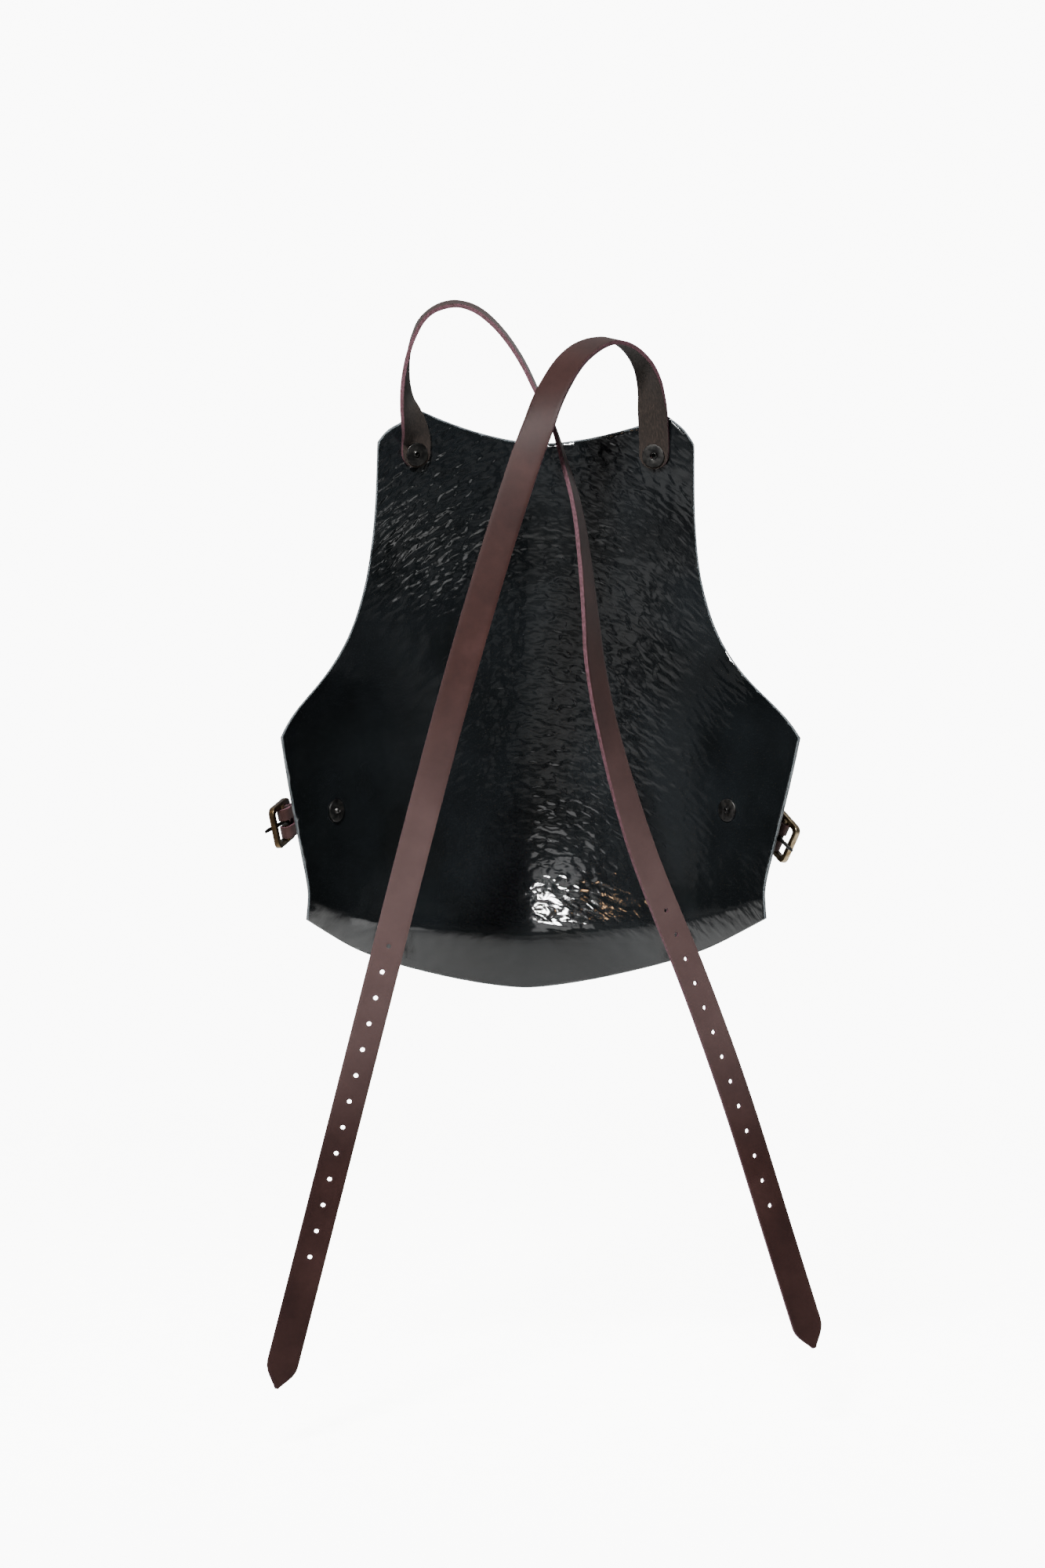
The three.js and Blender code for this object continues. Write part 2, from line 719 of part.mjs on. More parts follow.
// The leather's middle line, from one end over the bar and back. Z points away from the plate, and
// the strip is as wide as the chape along Y.
function chapePoints(reach, slope) {
  const parting = reach - foldRadius / 2 - chapeFlare;
  const points = [[-chapeWidth / 2, layerOffset], [0, layerOffset]];
  for (const along of steps(0, parting, chapeFlare)) points.push([along, layerOffset]);
  points.push([parting + chapeFlare / 2, (layerOffset + foldRadius) / 2]);
  for (let degrees = 90 + foldStep / 2; degrees > 0; degrees -= foldStep) {
    points.push([
      reach + foldRadius * Math.cos(radians(degrees)),
      foldRadius * Math.sin(radians(degrees)),
    ]);
  }
  const mirrored = points.map(([along, height]) => [along, -height]).reverse();
  return [...points, ...mirrored].map(([along, height]) => {
    const beyond = Math.max(0, along - reach);
    const x = along - beyond * (1 - Math.cos(Math.atan(slope)));
    return new THREE.Vector3(x, lieAt(x, reach, slope).aside, height);
  });
}

function chapeGeometry(reach, slope) {
  const points = chapePoints(reach, slope);
  const lengths = [0];
  for (let k = 1; k < points.length; k += 1) lengths.push(lengths[k - 1] + points[k].distanceTo(points[k - 1]));
  const whole = lengths[lengths.length - 1];
  const curve = new THREE.CatmullRomCurve3(points, false, 'centripetal');
  const rounds = roundEndDistances(chapeWidth);
  const margin = chapeWidth / 2 + seatGap;
  const inside = lengths.filter((length) => length > margin && length < whole - margin);
  const distances = [...rounds, ...inside, ...rounds.map((length) => whole - length).reverse()];
  const stations = distances.map((distance) => {
    const share = curve.getUtoTmapping(distance / whole);
    const tangent = curve.getTangent(share);
    const centre = curve.getPoint(share);
    const across = new THREE.Vector3(-lieAt(centre.x, reach, slope).lean, 1, 0).normalize();
    return {
      centre,
      across,
      flesh: new THREE.Vector3().crossVectors(across, tangent),
      half: roundEnd(Math.min(distance, whole - distance), chapeWidth),
    };
  });
  const slot = new THREE.BoxGeometry(slotLength, tongueWidth + slotClearance * 2, slotLength);
  slot.rotateZ(-Math.atan(slope)).translate(reach, 0, 0);
  const hole = rod(rivetHole, drillLength, new THREE.Vector3(), up, holeSides);
  return cut(ribbon(stations, chapeLeather), [slot, hole]);
}

function roundedRectangle(path, length, height, round) {
  const x = length / 2;
  const y = height / 2;
  path.moveTo(x, -y + round);
  path.absarc(x - round, y - round, round, 0, Math.PI / 2);
  path.absarc(-x + round, y - round, round, Math.PI / 2, Math.PI);
  path.absarc(-x + round, -y + round, round, Math.PI, Math.PI * 1.5);
  path.absarc(x - round, -y + round, round, Math.PI * 1.5, Math.PI * 2);
  return path;
}

// The bar lies on the local Y axis and the frame stands off it towards +Z.
function frameGeometry() {
  const grow = frameBevel * 2;
  const outline = roundedRectangle(
    new THREE.Shape(), frameLength - grow, frameHeight - grow, frameRound - frameBevel);
  outline.holes.push(roundedRectangle(
    new THREE.Path(),
    frameLength - frameBar * 2 + grow,
    frameHeight - frameBar * 2 + grow,
    frameInnerRound + frameBevel,
  ));
  const rim = new THREE.ExtrudeGeometry(outline, {
    depth: frameThickness - grow,
    bevelSize: frameBevel,
    bevelThickness: frameBevel,
    bevelSegments: 1,
    curveSegments: frameCurve,
  }).translate(0, 0, frameLift + frameBevel);
  const bar = rod(barRadius, frameHeight - frameBar, new THREE.Vector3(), new THREE.Vector3(0, 1, 0), barSides);
  return fromBody(body(rim).add(body(bar)));
}

// An eye round the bar and an arm from its top, which lies along +X at rest in its own frame.
function tongueGeometry() {
  const eyeHole = barRadius + barClearance;
  const eye = eyeHole + eyeWall;
  const under = eye - tongueThickness;
  const meets = Math.asin(under / eye);
  const outline = new THREE.Shape();
  outline.moveTo(0, eye);
  outline.absarc(0, 0, eye, Math.PI / 2, Math.PI * 2 + meets);
  outline.lineTo(tongueReach, under);
  outline.lineTo(tongueReach, under + tongueTip);
  outline.lineTo(tongueReach - tongueTaper, eye);
  outline.holes.push(new THREE.Path().absarc(0, 0, eyeHole, 0, Math.PI * 2));
  return new THREE.ExtrudeGeometry(outline, { depth: tongueWidth, bevelEnabled: false, curveSegments: eyeCurve })
    .translate(0, 0, -tongueWidth / 2)
    .rotateX(Math.PI / 2);
}

// The inner end of the frame rests on the leather, so the frame leans towards the plate. The
// tongue rests on the frame's outer end: on its face at the left, on its back at the right.
const frameLean = Math.asin((chapeLeather / 2 + layerOffset + clearance * 2) / (frameLength / 2 - frameBar));
const tongueUnder = barRadius + barClearance + eyeWall - tongueThickness;
const tongueOnFace = Math.asin(
  (frameLift + frameThickness + clearance - tongueUnder) / (frameLength / 2 - frameBar));
const tongueOnBack = Math.asin((frameLift + tongueUnder - clearance) / (frameLength / 2));

function sideBuckle(word, side, reach, droop, onFace) {
  const spot = sideSpot(side);
  const slope = side * Math.tan(radians(chapeBend / 2));
  const outward = spot.inward.clone().negate();
  const backward = new THREE.Vector3().crossVectors(spot.upward, outward).multiplyScalar(side);
  const along = backward.multiplyScalar(Math.cos(radians(droop)))
    .addScaledVector(spot.upward, -Math.sin(radians(droop)));
  const across = new THREE.Vector3().crossVectors(outward, along);
  const group = new THREE.Group();
  group.quaternion.setFromRotationMatrix(new THREE.Matrix4().makeBasis(along, across, outward));
  group.position.copy(spot.place).addScaledVector(outward, chapeSeat);
  group.add(named(`${word}_buckle_chape`, chapeGeometry(reach, slope), strapLeather()));

  const buckle = new THREE.Group();
  buckle.position.set(reach, 0, 0);
  buckle.rotation.set(0, frameLean, -Math.atan(slope), 'ZYX');
  buckle.add(named(`${word}_buckle_frame`, frameGeometry(), agedBrass()));
  const tongue = named(`${word}_buckle_tongue`, tongueGeometry(), blackenedSteel());
  if (onFace) {
    tongue.rotation.y = -tongueOnFace;
  } else {
    tongue.rotation.set(Math.PI, tongueOnBack, 0);
  }
  buckle.add(tongue);
  group.add(buckle);
  return group;
}

// Assembly

function plateWithHoles() {
  const tools = [];
  for (const side of [-1, 1]) {
    const shoulder = plateSpot(side * shoulderRivetAcross, 0);
    for (const { place, inward } of [shoulder, sideSpot(side)]) tools.push(rod(rivetHole, drillLength, place, inward, roundSides));
  }
  return cut(plateGeometry(), tools);
}

const breastplate = new THREE.Group();
breastplate.add(named('breast_plate', plateWithHoles(), blackSteel()));
breastplate.add(named('left_shoulder_strap', strapGeometry(leftRoute), strapLeather()));
breastplate.add(named('right_shoulder_strap', strapGeometry(rightRoute), strapLeather()));
breastplate.add(shoulderFastening('left', 1));
breastplate.add(shoulderFastening('right', -1));
breastplate.add(sideFastening('left', 1));
breastplate.add(sideFastening('right', -1));
breastplate.add(sideBuckle('left', 1, leftReach, leftDroop, true));
breastplate.add(sideBuckle('right', -1, rightReach, rightDroop, false));

export default breastplate;
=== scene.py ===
import json
import math

import bmesh
import bpy
import numpy as np
from mathutils import Matrix, Vector

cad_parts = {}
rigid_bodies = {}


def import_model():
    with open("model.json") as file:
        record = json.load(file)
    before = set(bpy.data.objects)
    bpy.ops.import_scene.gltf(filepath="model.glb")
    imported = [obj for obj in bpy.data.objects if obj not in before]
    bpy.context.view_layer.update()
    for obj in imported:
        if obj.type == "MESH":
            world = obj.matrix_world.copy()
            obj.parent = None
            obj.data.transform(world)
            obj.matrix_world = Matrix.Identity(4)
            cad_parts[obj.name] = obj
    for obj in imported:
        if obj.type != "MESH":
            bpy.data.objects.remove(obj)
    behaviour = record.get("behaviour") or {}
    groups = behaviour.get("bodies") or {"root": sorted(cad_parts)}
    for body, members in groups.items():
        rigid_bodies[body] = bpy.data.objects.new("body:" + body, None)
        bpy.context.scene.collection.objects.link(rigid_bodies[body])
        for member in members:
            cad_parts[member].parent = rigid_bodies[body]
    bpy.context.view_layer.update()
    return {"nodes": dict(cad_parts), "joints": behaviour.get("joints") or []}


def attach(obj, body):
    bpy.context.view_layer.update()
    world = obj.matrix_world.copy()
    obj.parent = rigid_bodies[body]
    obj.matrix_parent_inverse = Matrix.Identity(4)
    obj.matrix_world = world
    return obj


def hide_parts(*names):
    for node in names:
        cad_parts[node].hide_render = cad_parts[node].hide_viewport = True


for thing in list(bpy.data.objects):
    bpy.data.objects.remove(thing)
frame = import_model()
nodes = frame["nodes"]
joints = {joint["name"]: joint for joint in frame["joints"]}

MM = 0.001
SAME_POINT = 0.01 * MM
EDGE_ANGLE = math.radians(60)

# The plate. A corner of its outline is where two sides of some length turn by more than CORNER_TURN.
SHEET = 1.6 * MM
SHEET_BEVEL = 0.3 * MM
CORNER_SIDE = 3 * MM
CORNER_TURN = math.radians(28)
CORNER_CREASE = 0.85
DENTS = (("hammer dents", 30 * MM, 0.5 * MM), ("hammer ripples", 9 * MM, 0.45 * MM))
# How much lower the hammer's rows lie at the sides, in metres per square metre of distance.
ROW_ARCH = 3.4

# Leather. Holes and the rivet's place are measured from the strap's ends.
STRAP_WIDTH = 22.5 * MM
STRAP_THICKNESS = 3 * MM
STRAP_TIP = 18 * MM
STRAP_TIP_BLUNT = 0.12
STRAP_HOLE_PITCH = 19 * MM
STRAP_HOLES = 13
STRAP_HOLE = 1.65 * MM
LEFT_FIRST_HOLE = 109 * MM
RIGHT_FIRST_HOLE = 96.5 * MM
RIVET_FROM_END = 10 * MM
CHAPE_WIDTH = 22 * MM
CHAPE_THICKNESS = 2.5 * MM
CHAPE_SLOT = (27 * MM, 5 * MM, 12 * MM)
CHAPE_SLOT_ROUND = 2.4 * MM
LEATHER_BEVEL = 0.35 * MM
STRAP_GRID = 3 * MM
CHAPE_GRID = 1.2 * MM
PUNCH_DEPTH = 12 * MM

# Rivets and washers.
HEAD_RADIUS = 6 * MM
SHANK_RADIUS = 2 * MM
PEEN_RADIUS = 3.3 * MM
RIVET_BEVEL = 0.15 * MM
RIVET_HOLE = 2.3 * MM
WASHER_RADIUS = 8.5 * MM
WASHER_THICKNESS = 1.3 * MM
WASHER_BEVEL = 0.4 * MM

# Buckles. The bar is the origin, and the frame lies a little above it.
FRAME_HEIGHT = 31 * MM
FRAME_LENGTH = 32 * MM
FRAME_SIDE = 4.2 * MM
FRAME_THICKNESS = 4 * MM
FRAME_OUTER_ROUND = 5.2 * MM
FRAME_INNER_ROUND = 2.8 * MM
FRAME_BEVEL = 1.1 * MM
FRAME_LIFT = 0.4 * MM
BAR_RADIUS = 1.7 * MM
BAR_PLAY = 0.35 * MM
EYE_RADIUS = 3.35 * MM
TONGUE_WIDTH = 3 * MM
TONGUE_REACH = 21 * MM
TONGUE_THICKNESS = 2 * MM
TONGUE_TAPER = 4.5 * MM
TONGUE_TIP = (1, 0.75, 0.5)
TONGUE_BEVEL = 0.3 * MM
TONGUE_ON_FACE = math.radians(-16.5)
TONGUE_ON_BACK = math.radians(5.2)

# The stage: the paper on the floor, the brightness of the room and the lamps.
FLOOR = -0.72
PAPER_BACK = -1.0
PAPER_FADE = 1.75
PAPER_WIDE = 1.6
PAPER_GLOW = 2.0
ROOM_DIM = 0.13
ROOM_LOW = 0.55
ROOM_BEHIND = 0.55
WHITE_GROUND = 11.0
PLATE_MIDDLE = (0, 0, -0.3)
# A lamp's place, what it aims at, its width and height, its power in watts, its spread in degrees, its tint.
LAMPS = {
    "key": ((0.52, 1.58, 1.0), PLATE_MIDDLE, (0.3, 0.38), 9, 50, "#ffffff"),
    "front": ((0.9, 2.6, 0.4), PLATE_MIDDLE, (1.2, 0.8), 0.8, 60, "#ffffff"),
    "low": ((-0.8, 0.35, -0.66), (0.1, 0, -0.1), (0.5, 0.2), 0.2, 100, "#ffffff"),
    "lamp": ((1.3, 1.35, 1.05), PLATE_MIDDLE, (0.16, 0.4), 0.04, 12, "#ffca96"),
    "top": ((0, -0.5, 1.6), (0, -0.5, -0.7), (1.6, 0.8), 2.5, 80, "#ffffff"),
}
CAMERA_PLACE = (0.1837, 2.4932, -0.245)
CAMERA_WAY = (-0.06976, -0.99756, 0)
CAMERA_LENS = 77.2
CAMERA_FILM = 36
CAMERA_REACH = 50


# Materials


def colour(text):
    """A linear colour from an sRGB hex value."""
    channels = [int(text[k:k + 2], 16) / 255 for k in (1, 3, 5)]
    linear = [c / 12.92 if c <= 0.04045 else ((c + 0.055) / 1.055) ** 2.4 for c in channels]
    return (*linear, 1)


def node(material, kind, settings=None, links=None):
    """Adds a node. settings are its own properties, its sockets' values or a ramp's stops of position
    and colour. links are its inputs' sources, each an output or a node, which gives its first one."""
    made = material.node_tree.nodes.new(kind)
    for key, value in (settings or {}).items():
        if key == "stops":
            elements = made.color_ramp.elements
            while len(elements) < len(value):
                elements.new(0.5)
            for element, (position, tone) in zip(elements, value):
                element.position = position
                element.color = tone
        elif isinstance(key, str) and key.islower():
            setattr(made, key, value)
        else:
            made.inputs[key].default_value = value
    for key, source in (links or {}).items():
        output = source.outputs[0] if isinstance(source, bpy.types.Node) else source
        material.node_tree.links.new(output, made.inputs[key])
    return made


def blank(name):
    """A new material without nodes."""
    material = bpy.data.materials.new(name)
    material.use_nodes = True
    material.node_tree.nodes.clear()
    return material


def finish(material, shader):
    """Joins the shader to the material's output."""
    node(material, "ShaderNodeOutputMaterial", links={"Surface": shader})
    return material


def hammered_black_enamel():
    """Mild steel raised with a hammer, then sprayed with gloss black enamel. The paint follows the
    hammer's ripples, so its reflections break up into short wavy lines."""
    m = blank("hammered steel under gloss black enamel")
    place = node(m, "ShaderNodeTexCoord").outputs["Object"]
    x, y, z = node(m, "ShaderNodeSeparateXYZ", links={"Vector": place}).outputs
    # The hammer went round in arches: level rows at the ridge, which fall away ever steeper at both sides.
    square = node(m, "ShaderNodeMath", {"operation": "MULTIPLY"}, {0: x, 1: x})
    arched = node(m, "ShaderNodeMath", {"operation": "MULTIPLY_ADD", 1: ROW_ARCH}, {0: square, 2: z})
    rows = node(m, "ShaderNodeCombineXYZ", links={"X": x, "Y": y, "Z": arched})
    # A row every 5 mm or so, each ripple about 10 mm long.
    sized = node(m, "ShaderNodeMapping", {"Scale": (110, 110, 190)}, {"Vector": rows})
    ripples = node(m, "ShaderNodeTexNoise", {"Scale": 1.0, "Detail": 0.7, "Distortion": 0.3},
                   {"Vector": sized})
    # Deep at the wearer's left shoulder. Elsewhere soft at the ridge, softer towards the wearer's right
    # and faint at the left flank and on the flange.
    side = node(m, "ShaderNodeMath", {"operation": "ABSOLUTE"}, {0: x})
    high = node(m, "ShaderNodeMapRange", {"From Min": -0.125, "From Max": -0.085}, {"Value": z})
    left = node(m, "ShaderNodeMapRange",
                {"From Min": -0.05, "From Max": 0.06, "To Min": 0.3, "To Max": 1.0}, {"Value": x})
    shoulder = node(m, "ShaderNodeMath", {"operation": "MULTIPLY"}, {0: high, 1: left})
    middle = node(m, "ShaderNodeMapRange",
                  {"From Min": 0.05, "From Max": 0.11, "To Min": 0.62, "To Max": 0.22}, {"Value": side})
    right = node(m, "ShaderNodeMapRange",
                 {"From Min": 0.07, "From Max": 0.01, "To Min": 0.12, "To Max": 1.0}, {"Value": x})
    centre = node(m, "ShaderNodeMath", {"operation": "MULTIPLY"}, {0: middle, 1: right})
    both = node(m, "ShaderNodeMath", {"operation": "MAXIMUM"}, {0: shoulder, 1: centre})
    above_flange = node(m, "ShaderNodeMapRange",
                        {"From Min": -0.366, "From Max": -0.35, "To Min": 0.05, "To Max": 1.0}, {"Value": z})
    mask = node(m, "ShaderNodeMath", {"operation": "MULTIPLY"}, {0: both, 1: above_flange})
    relief = node(m, "ShaderNodeMath", {"operation": "MULTIPLY"}, {0: ripples, 1: mask})
    bump = node(m, "ShaderNodeBump", {"Strength": 1.0, "Distance": 1.9 * MM}, {"Height": relief})
    # Orange peel of the paint, drawn at 1.2 mm so that it shows.
    peel = node(m, "ShaderNodeTexNoise", {"Scale": 800.0, "Detail": 1.0}, {"Vector": place})
    fine = node(m, "ShaderNodeBump", {"Strength": 0.3, "Distance": 0.05 * MM},
                {"Height": peel, "Normal": bump})
    cloud = node(m, "ShaderNodeTexNoise", {"Scale": 14.0, "Detail": 5.0}, {"Vector": place})
    tint = node(m, "ShaderNodeValToRGB", {"stops": [(0.35, colour("#0a0c0d")), (0.65, colour("#121517"))]},
                {"Fac": cloud})
    # Along the sheet's edge a painted reflection: the colour turns grey in a line of about 1 mm, standing in
    # for the light that the glossy edge reflects.
    near = node(m, "ShaderNodeAttribute", {"attribute_name": "rubbed"}).outputs["Fac"]
    uneven = node(m, "ShaderNodeTexNoise", {"Scale": 160.0, "Detail": 3.0}, {"Vector": place})
    wear_and_painted_reflection = node(m, "ShaderNodeMath", {"operation": "MULTIPLY_ADD", 1: 0.3}, {0: uneven, 2: near})
    painted_reflection_band = node(m, "ShaderNodeMapRange", {"From Min": 0.78, "From Max": 0.98}, {"Value": wear_and_painted_reflection})
    tone = node(m, "ShaderNodeMix", {"data_type": "RGBA", 7: colour("#5f6568")}, {0: painted_reflection_band, 6: tint})
    rough = node(m, "ShaderNodeMapRange", {"To Min": 0.08, "To Max": 0.17}, {"Value": cloud})
    shader = node(m, "ShaderNodeBsdfPrincipled", {"Metallic": 0.0, "IOR": 1.5},
                  {"Base Color": tone.outputs[2], "Roughness": rough, "Normal": fine})
    return finish(m, shader)


def sheet_edge_painted_reflection():
    """The sheet's filed edge, painted light grey: a painted reflection of the light line that the glossy black
    edge shows.
    """
    m = blank("filed steel edge, painted reflection line")
    place = node(m, "ShaderNodeTexCoord").outputs["Object"]
    reflection_mottle = node(m, "ShaderNodeTexNoise", {"Scale": 90.0, "Detail": 4.0}, {"Vector": place})
    # Painted reflection: the edge's light grey colour stands in for the light that the glossy edge reflects.
    tint = node(m, "ShaderNodeValToRGB", {"stops": [(0.35, colour("#313537")), (0.7, colour("#6a6f72"))]},
                {"Fac": reflection_mottle})
    file_marks = node(m, "ShaderNodeTexNoise", {"Scale": 1500.0, "Detail": 1.0}, {"Vector": place})
    bump = node(m, "ShaderNodeBump", {"Strength": 0.3, "Distance": 0.05 * MM}, {"Height": file_marks})
    shader = node(m, "ShaderNodeBsdfPrincipled", {"Metallic": 0.2, "Roughness": 0.4},
                  {"Base Color": tint, "Normal": bump})
    return finish(m, shader)


def harness_leather_grain():
    """Vegetable-tanned cowhide, dyed dark reddish brown and waxed: a soft sheen, fine pores and slight
    creases across the strap, and a greyish painted sheen where the ends hang free."""
    m = blank("waxed harness leather, grain side")
    flat = node(m, "ShaderNodeUVMap", {"uv_map": "flat"})
    cloud = node(m, "ShaderNodeTexNoise", {"Scale": 22.0, "Detail": 5.0, "Roughness": 0.6}, {"Vector": flat})
    dye = [(0.3, colour("#211211")), (0.55, colour("#2b1917")), (0.75, colour("#35211f"))]
    tint = node(m, "ShaderNodeValToRGB", {"stops": dye}, {"Fac": cloud})
    # A painted sheen: a greyish film mixed into the colour where the ends hang free beside the waist, standing
    # in for the soft reflection they catch there.
    place = node(m, "ShaderNodeTexCoord").outputs["Object"]
    x, y, z = node(m, "ShaderNodeSeparateXYZ", links={"Vector": place}).outputs
    side = node(m, "ShaderNodeMath", {"operation": "ABSOLUTE"}, {0: x})
    inward = node(m, "ShaderNodeMapRange", {"From Min": 0.19, "From Max": 0.175}, {"Value": side})
    above = node(m, "ShaderNodeMapRange",
                 {"interpolation_type": "SMOOTHSTEP", "From Min": -0.53, "From Max": -0.4}, {"Value": z})
    below = node(m, "ShaderNodeMapRange",
                 {"interpolation_type": "SMOOTHSTEP", "From Min": -0.14, "From Max": -0.34}, {"Value": z})
    between = node(m, "ShaderNodeMath", {"operation": "MULTIPLY"}, {0: above, 1: below})
    sheen_mottle = node(m, "ShaderNodeMapRange",
                {"From Min": 0.2, "From Max": 0.7, "To Min": 0.6, "To Max": 0.9}, {"Value": cloud})
    free = node(m, "ShaderNodeMath", {"operation": "MULTIPLY"}, {0: between, 1: inward})
    painted_sheen = node(m, "ShaderNodeMath", {"operation": "MULTIPLY"}, {0: free, 1: sheen_mottle})
    tone = node(m, "ShaderNodeMix", {"data_type": "RGBA", 7: colour("#4a3b3a")}, {0: painted_sheen, 6: tint})
    # Pores of about 0.8 mm.
    pores = node(m, "ShaderNodeTexVoronoi", {"Scale": 1250.0, "feature": "SMOOTH_F1"}, {"Vector": flat})
    creases = node(m, "ShaderNodeMapping", {"Scale": (420, 60, 1)}, {"Vector": flat})
    lines = node(m, "ShaderNodeTexNoise", {"Scale": 1.0, "Detail": 3.0, "Distortion": 0.4},
                 {"Vector": creases})
    first = node(m, "ShaderNodeBump", {"Strength": 0.35, "Distance": 0.08 * MM}, {"Height": pores})
    second = node(m, "ShaderNodeBump", {"Strength": 0.3, "Distance": 0.12 * MM},
                  {"Height": lines, "Normal": first})
    rough = node(m, "ShaderNodeMapRange", {"To Min": 0.42, "To Max": 0.6}, {"Value": cloud})
    shader = node(m, "ShaderNodeBsdfPrincipled",
                  {"IOR": 1.5, "Specular IOR Level": 0.1, "Sheen Weight": 0.04, "Sheen Roughness": 0.5},
                  {"Base Color": tone.outputs[2], "Roughness": rough, "Normal": second})
    return finish(m, shader)


def harness_leather_flesh():
    """The flesh side of the same hide, left raw: a dull brown nap of short fibres."""
    m = blank("harness leather, flesh side")
    flat = node(m, "ShaderNodeUVMap", {"uv_map": "flat"})
    long = node(m, "ShaderNodeMapping", {"Scale": (260, 900, 1)}, {"Vector": flat})
    fibres = node(m, "ShaderNodeTexNoise", {"Scale": 1.0, "Detail": 4.0, "Distortion": 0.8}, {"Vector": long})
    raw = [(0.3, colour("#1b1613")), (0.6, colour("#28211d")), (0.8, colour("#382e29"))]
    tint = node(m, "ShaderNodeValToRGB", {"stops": raw}, {"Fac": fibres})
    bump = node(m, "ShaderNodeBump", {"Strength": 0.6, "Distance": 0.2 * MM}, {"Height": fibres})
    shader = node(m, "ShaderNodeBsdfPrincipled",
                  {"IOR": 1.45, "Specular IOR Level": 0.2, "Roughness": 0.85, "Sheen Weight": 0.04,
                   "Sheen Roughness": 0.6}, {"Base Color": tint, "Normal": bump})
    return finish(m, shader)


def harness_leather_cut():
    """The hide's cut edge: fibres that took a dull red from the dye."""
    m = blank("harness leather, cut edge")
    place = node(m, "ShaderNodeTexCoord").outputs["Object"]
    fibres = node(m, "ShaderNodeTexNoise", {"Scale": 450.0, "Detail": 3.0}, {"Vector": place})
    tint = node(m, "ShaderNodeValToRGB", {"stops": [(0.35, colour("#3a2024")), (0.65, colour("#50303a"))]},
                {"Fac": fibres})
    bump = node(m, "ShaderNodeBump", {"Strength": 0.5, "Distance": 0.15 * MM}, {"Height": fibres})
    shader = node(m, "ShaderNodeBsdfPrincipled", {"IOR": 1.45, "Roughness": 0.8},
                  {"Base Color": tint, "Normal": bump})
    return finish(m, shader)


def blackened_steel():
    """Forged mild steel, oil-blackened: dark with a dull gloss, brighter where it has rubbed."""
    m = blank("oil-blackened steel")
    place = node(m, "ShaderNodeTexCoord").outputs["Object"]
    patch = node(m, "ShaderNodeTexNoise", {"Scale": 260.0, "Detail": 4.0}, {"Vector": place})
    tint = node(m, "ShaderNodeValToRGB", {"stops": [(0.35, colour("#2c2c2c")), (0.7, colour("#4c4b49"))]},
                {"Fac": patch})
    rough = node(m, "ShaderNodeMapRange", {"To Min": 0.32, "To Max": 0.52}, {"Value": patch})
    bump = node(m, "ShaderNodeBump", {"Strength": 0.35, "Distance": 0.1 * MM}, {"Height": patch})
    shader = node(m, "ShaderNodeBsdfPrincipled", {"Metallic": 1.0},
                  {"Base Color": tint, "Roughness": rough, "Normal": bump})
    return finish(m, shader)


def aged_brass():
    """Cast brass with a brown patina, rubbed to a pale gold on its high edges."""
    m = blank("cast brass with brown patina")
    place = node(m, "ShaderNodeTexCoord").outputs["Object"]
    patch = node(m, "ShaderNodeTexNoise", {"Scale": 180.0, "Detail": 5.0}, {"Vector": place})
    high = node(m, "ShaderNodeNewGeometry").outputs["Pointiness"]
    wear_and_painted_reflection = node(m, "ShaderNodeMapRange", {"From Min": 0.5, "From Max": 0.56}, {"Value": high})
    # The buckle at the wearer's right is made lighter in colour than the one at the left.
    x, y, z = node(m, "ShaderNodeSeparateXYZ", links={"Vector": place}).outputs
    bright = node(m, "ShaderNodeMapRange",
                  {"From Min": 0.1, "From Max": -0.1, "To Min": 0.0, "To Max": 0.3}, {"Value": x})
    rubbed = node(m, "ShaderNodeMath", {"operation": "MULTIPLY_ADD", 1: 0.5}, {0: wear_and_painted_reflection, 2: bright})
    both = node(m, "ShaderNodeMath", {"operation": "MULTIPLY_ADD", 1: 0.6}, {0: patch, 2: rubbed})
    patina = [(0.25, colour("#1d1510")), (0.55, colour("#413222")), (0.8, colour("#6d5d45")),
              (1.0, colour("#a89a7f"))]
    tint = node(m, "ShaderNodeValToRGB", {"stops": patina}, {"Fac": both})
    rough = node(m, "ShaderNodeMapRange", {"To Min": 0.28, "To Max": 0.45}, {"Value": patch})
    bump = node(m, "ShaderNodeBump", {"Strength": 0.3, "Distance": 0.08 * MM}, {"Height": patch})
    shader = node(m, "ShaderNodeBsdfPrincipled", {"Metallic": 1.0},
                  {"Base Color": tint, "Roughness": rough, "Normal": bump})
    return finish(m, shader)


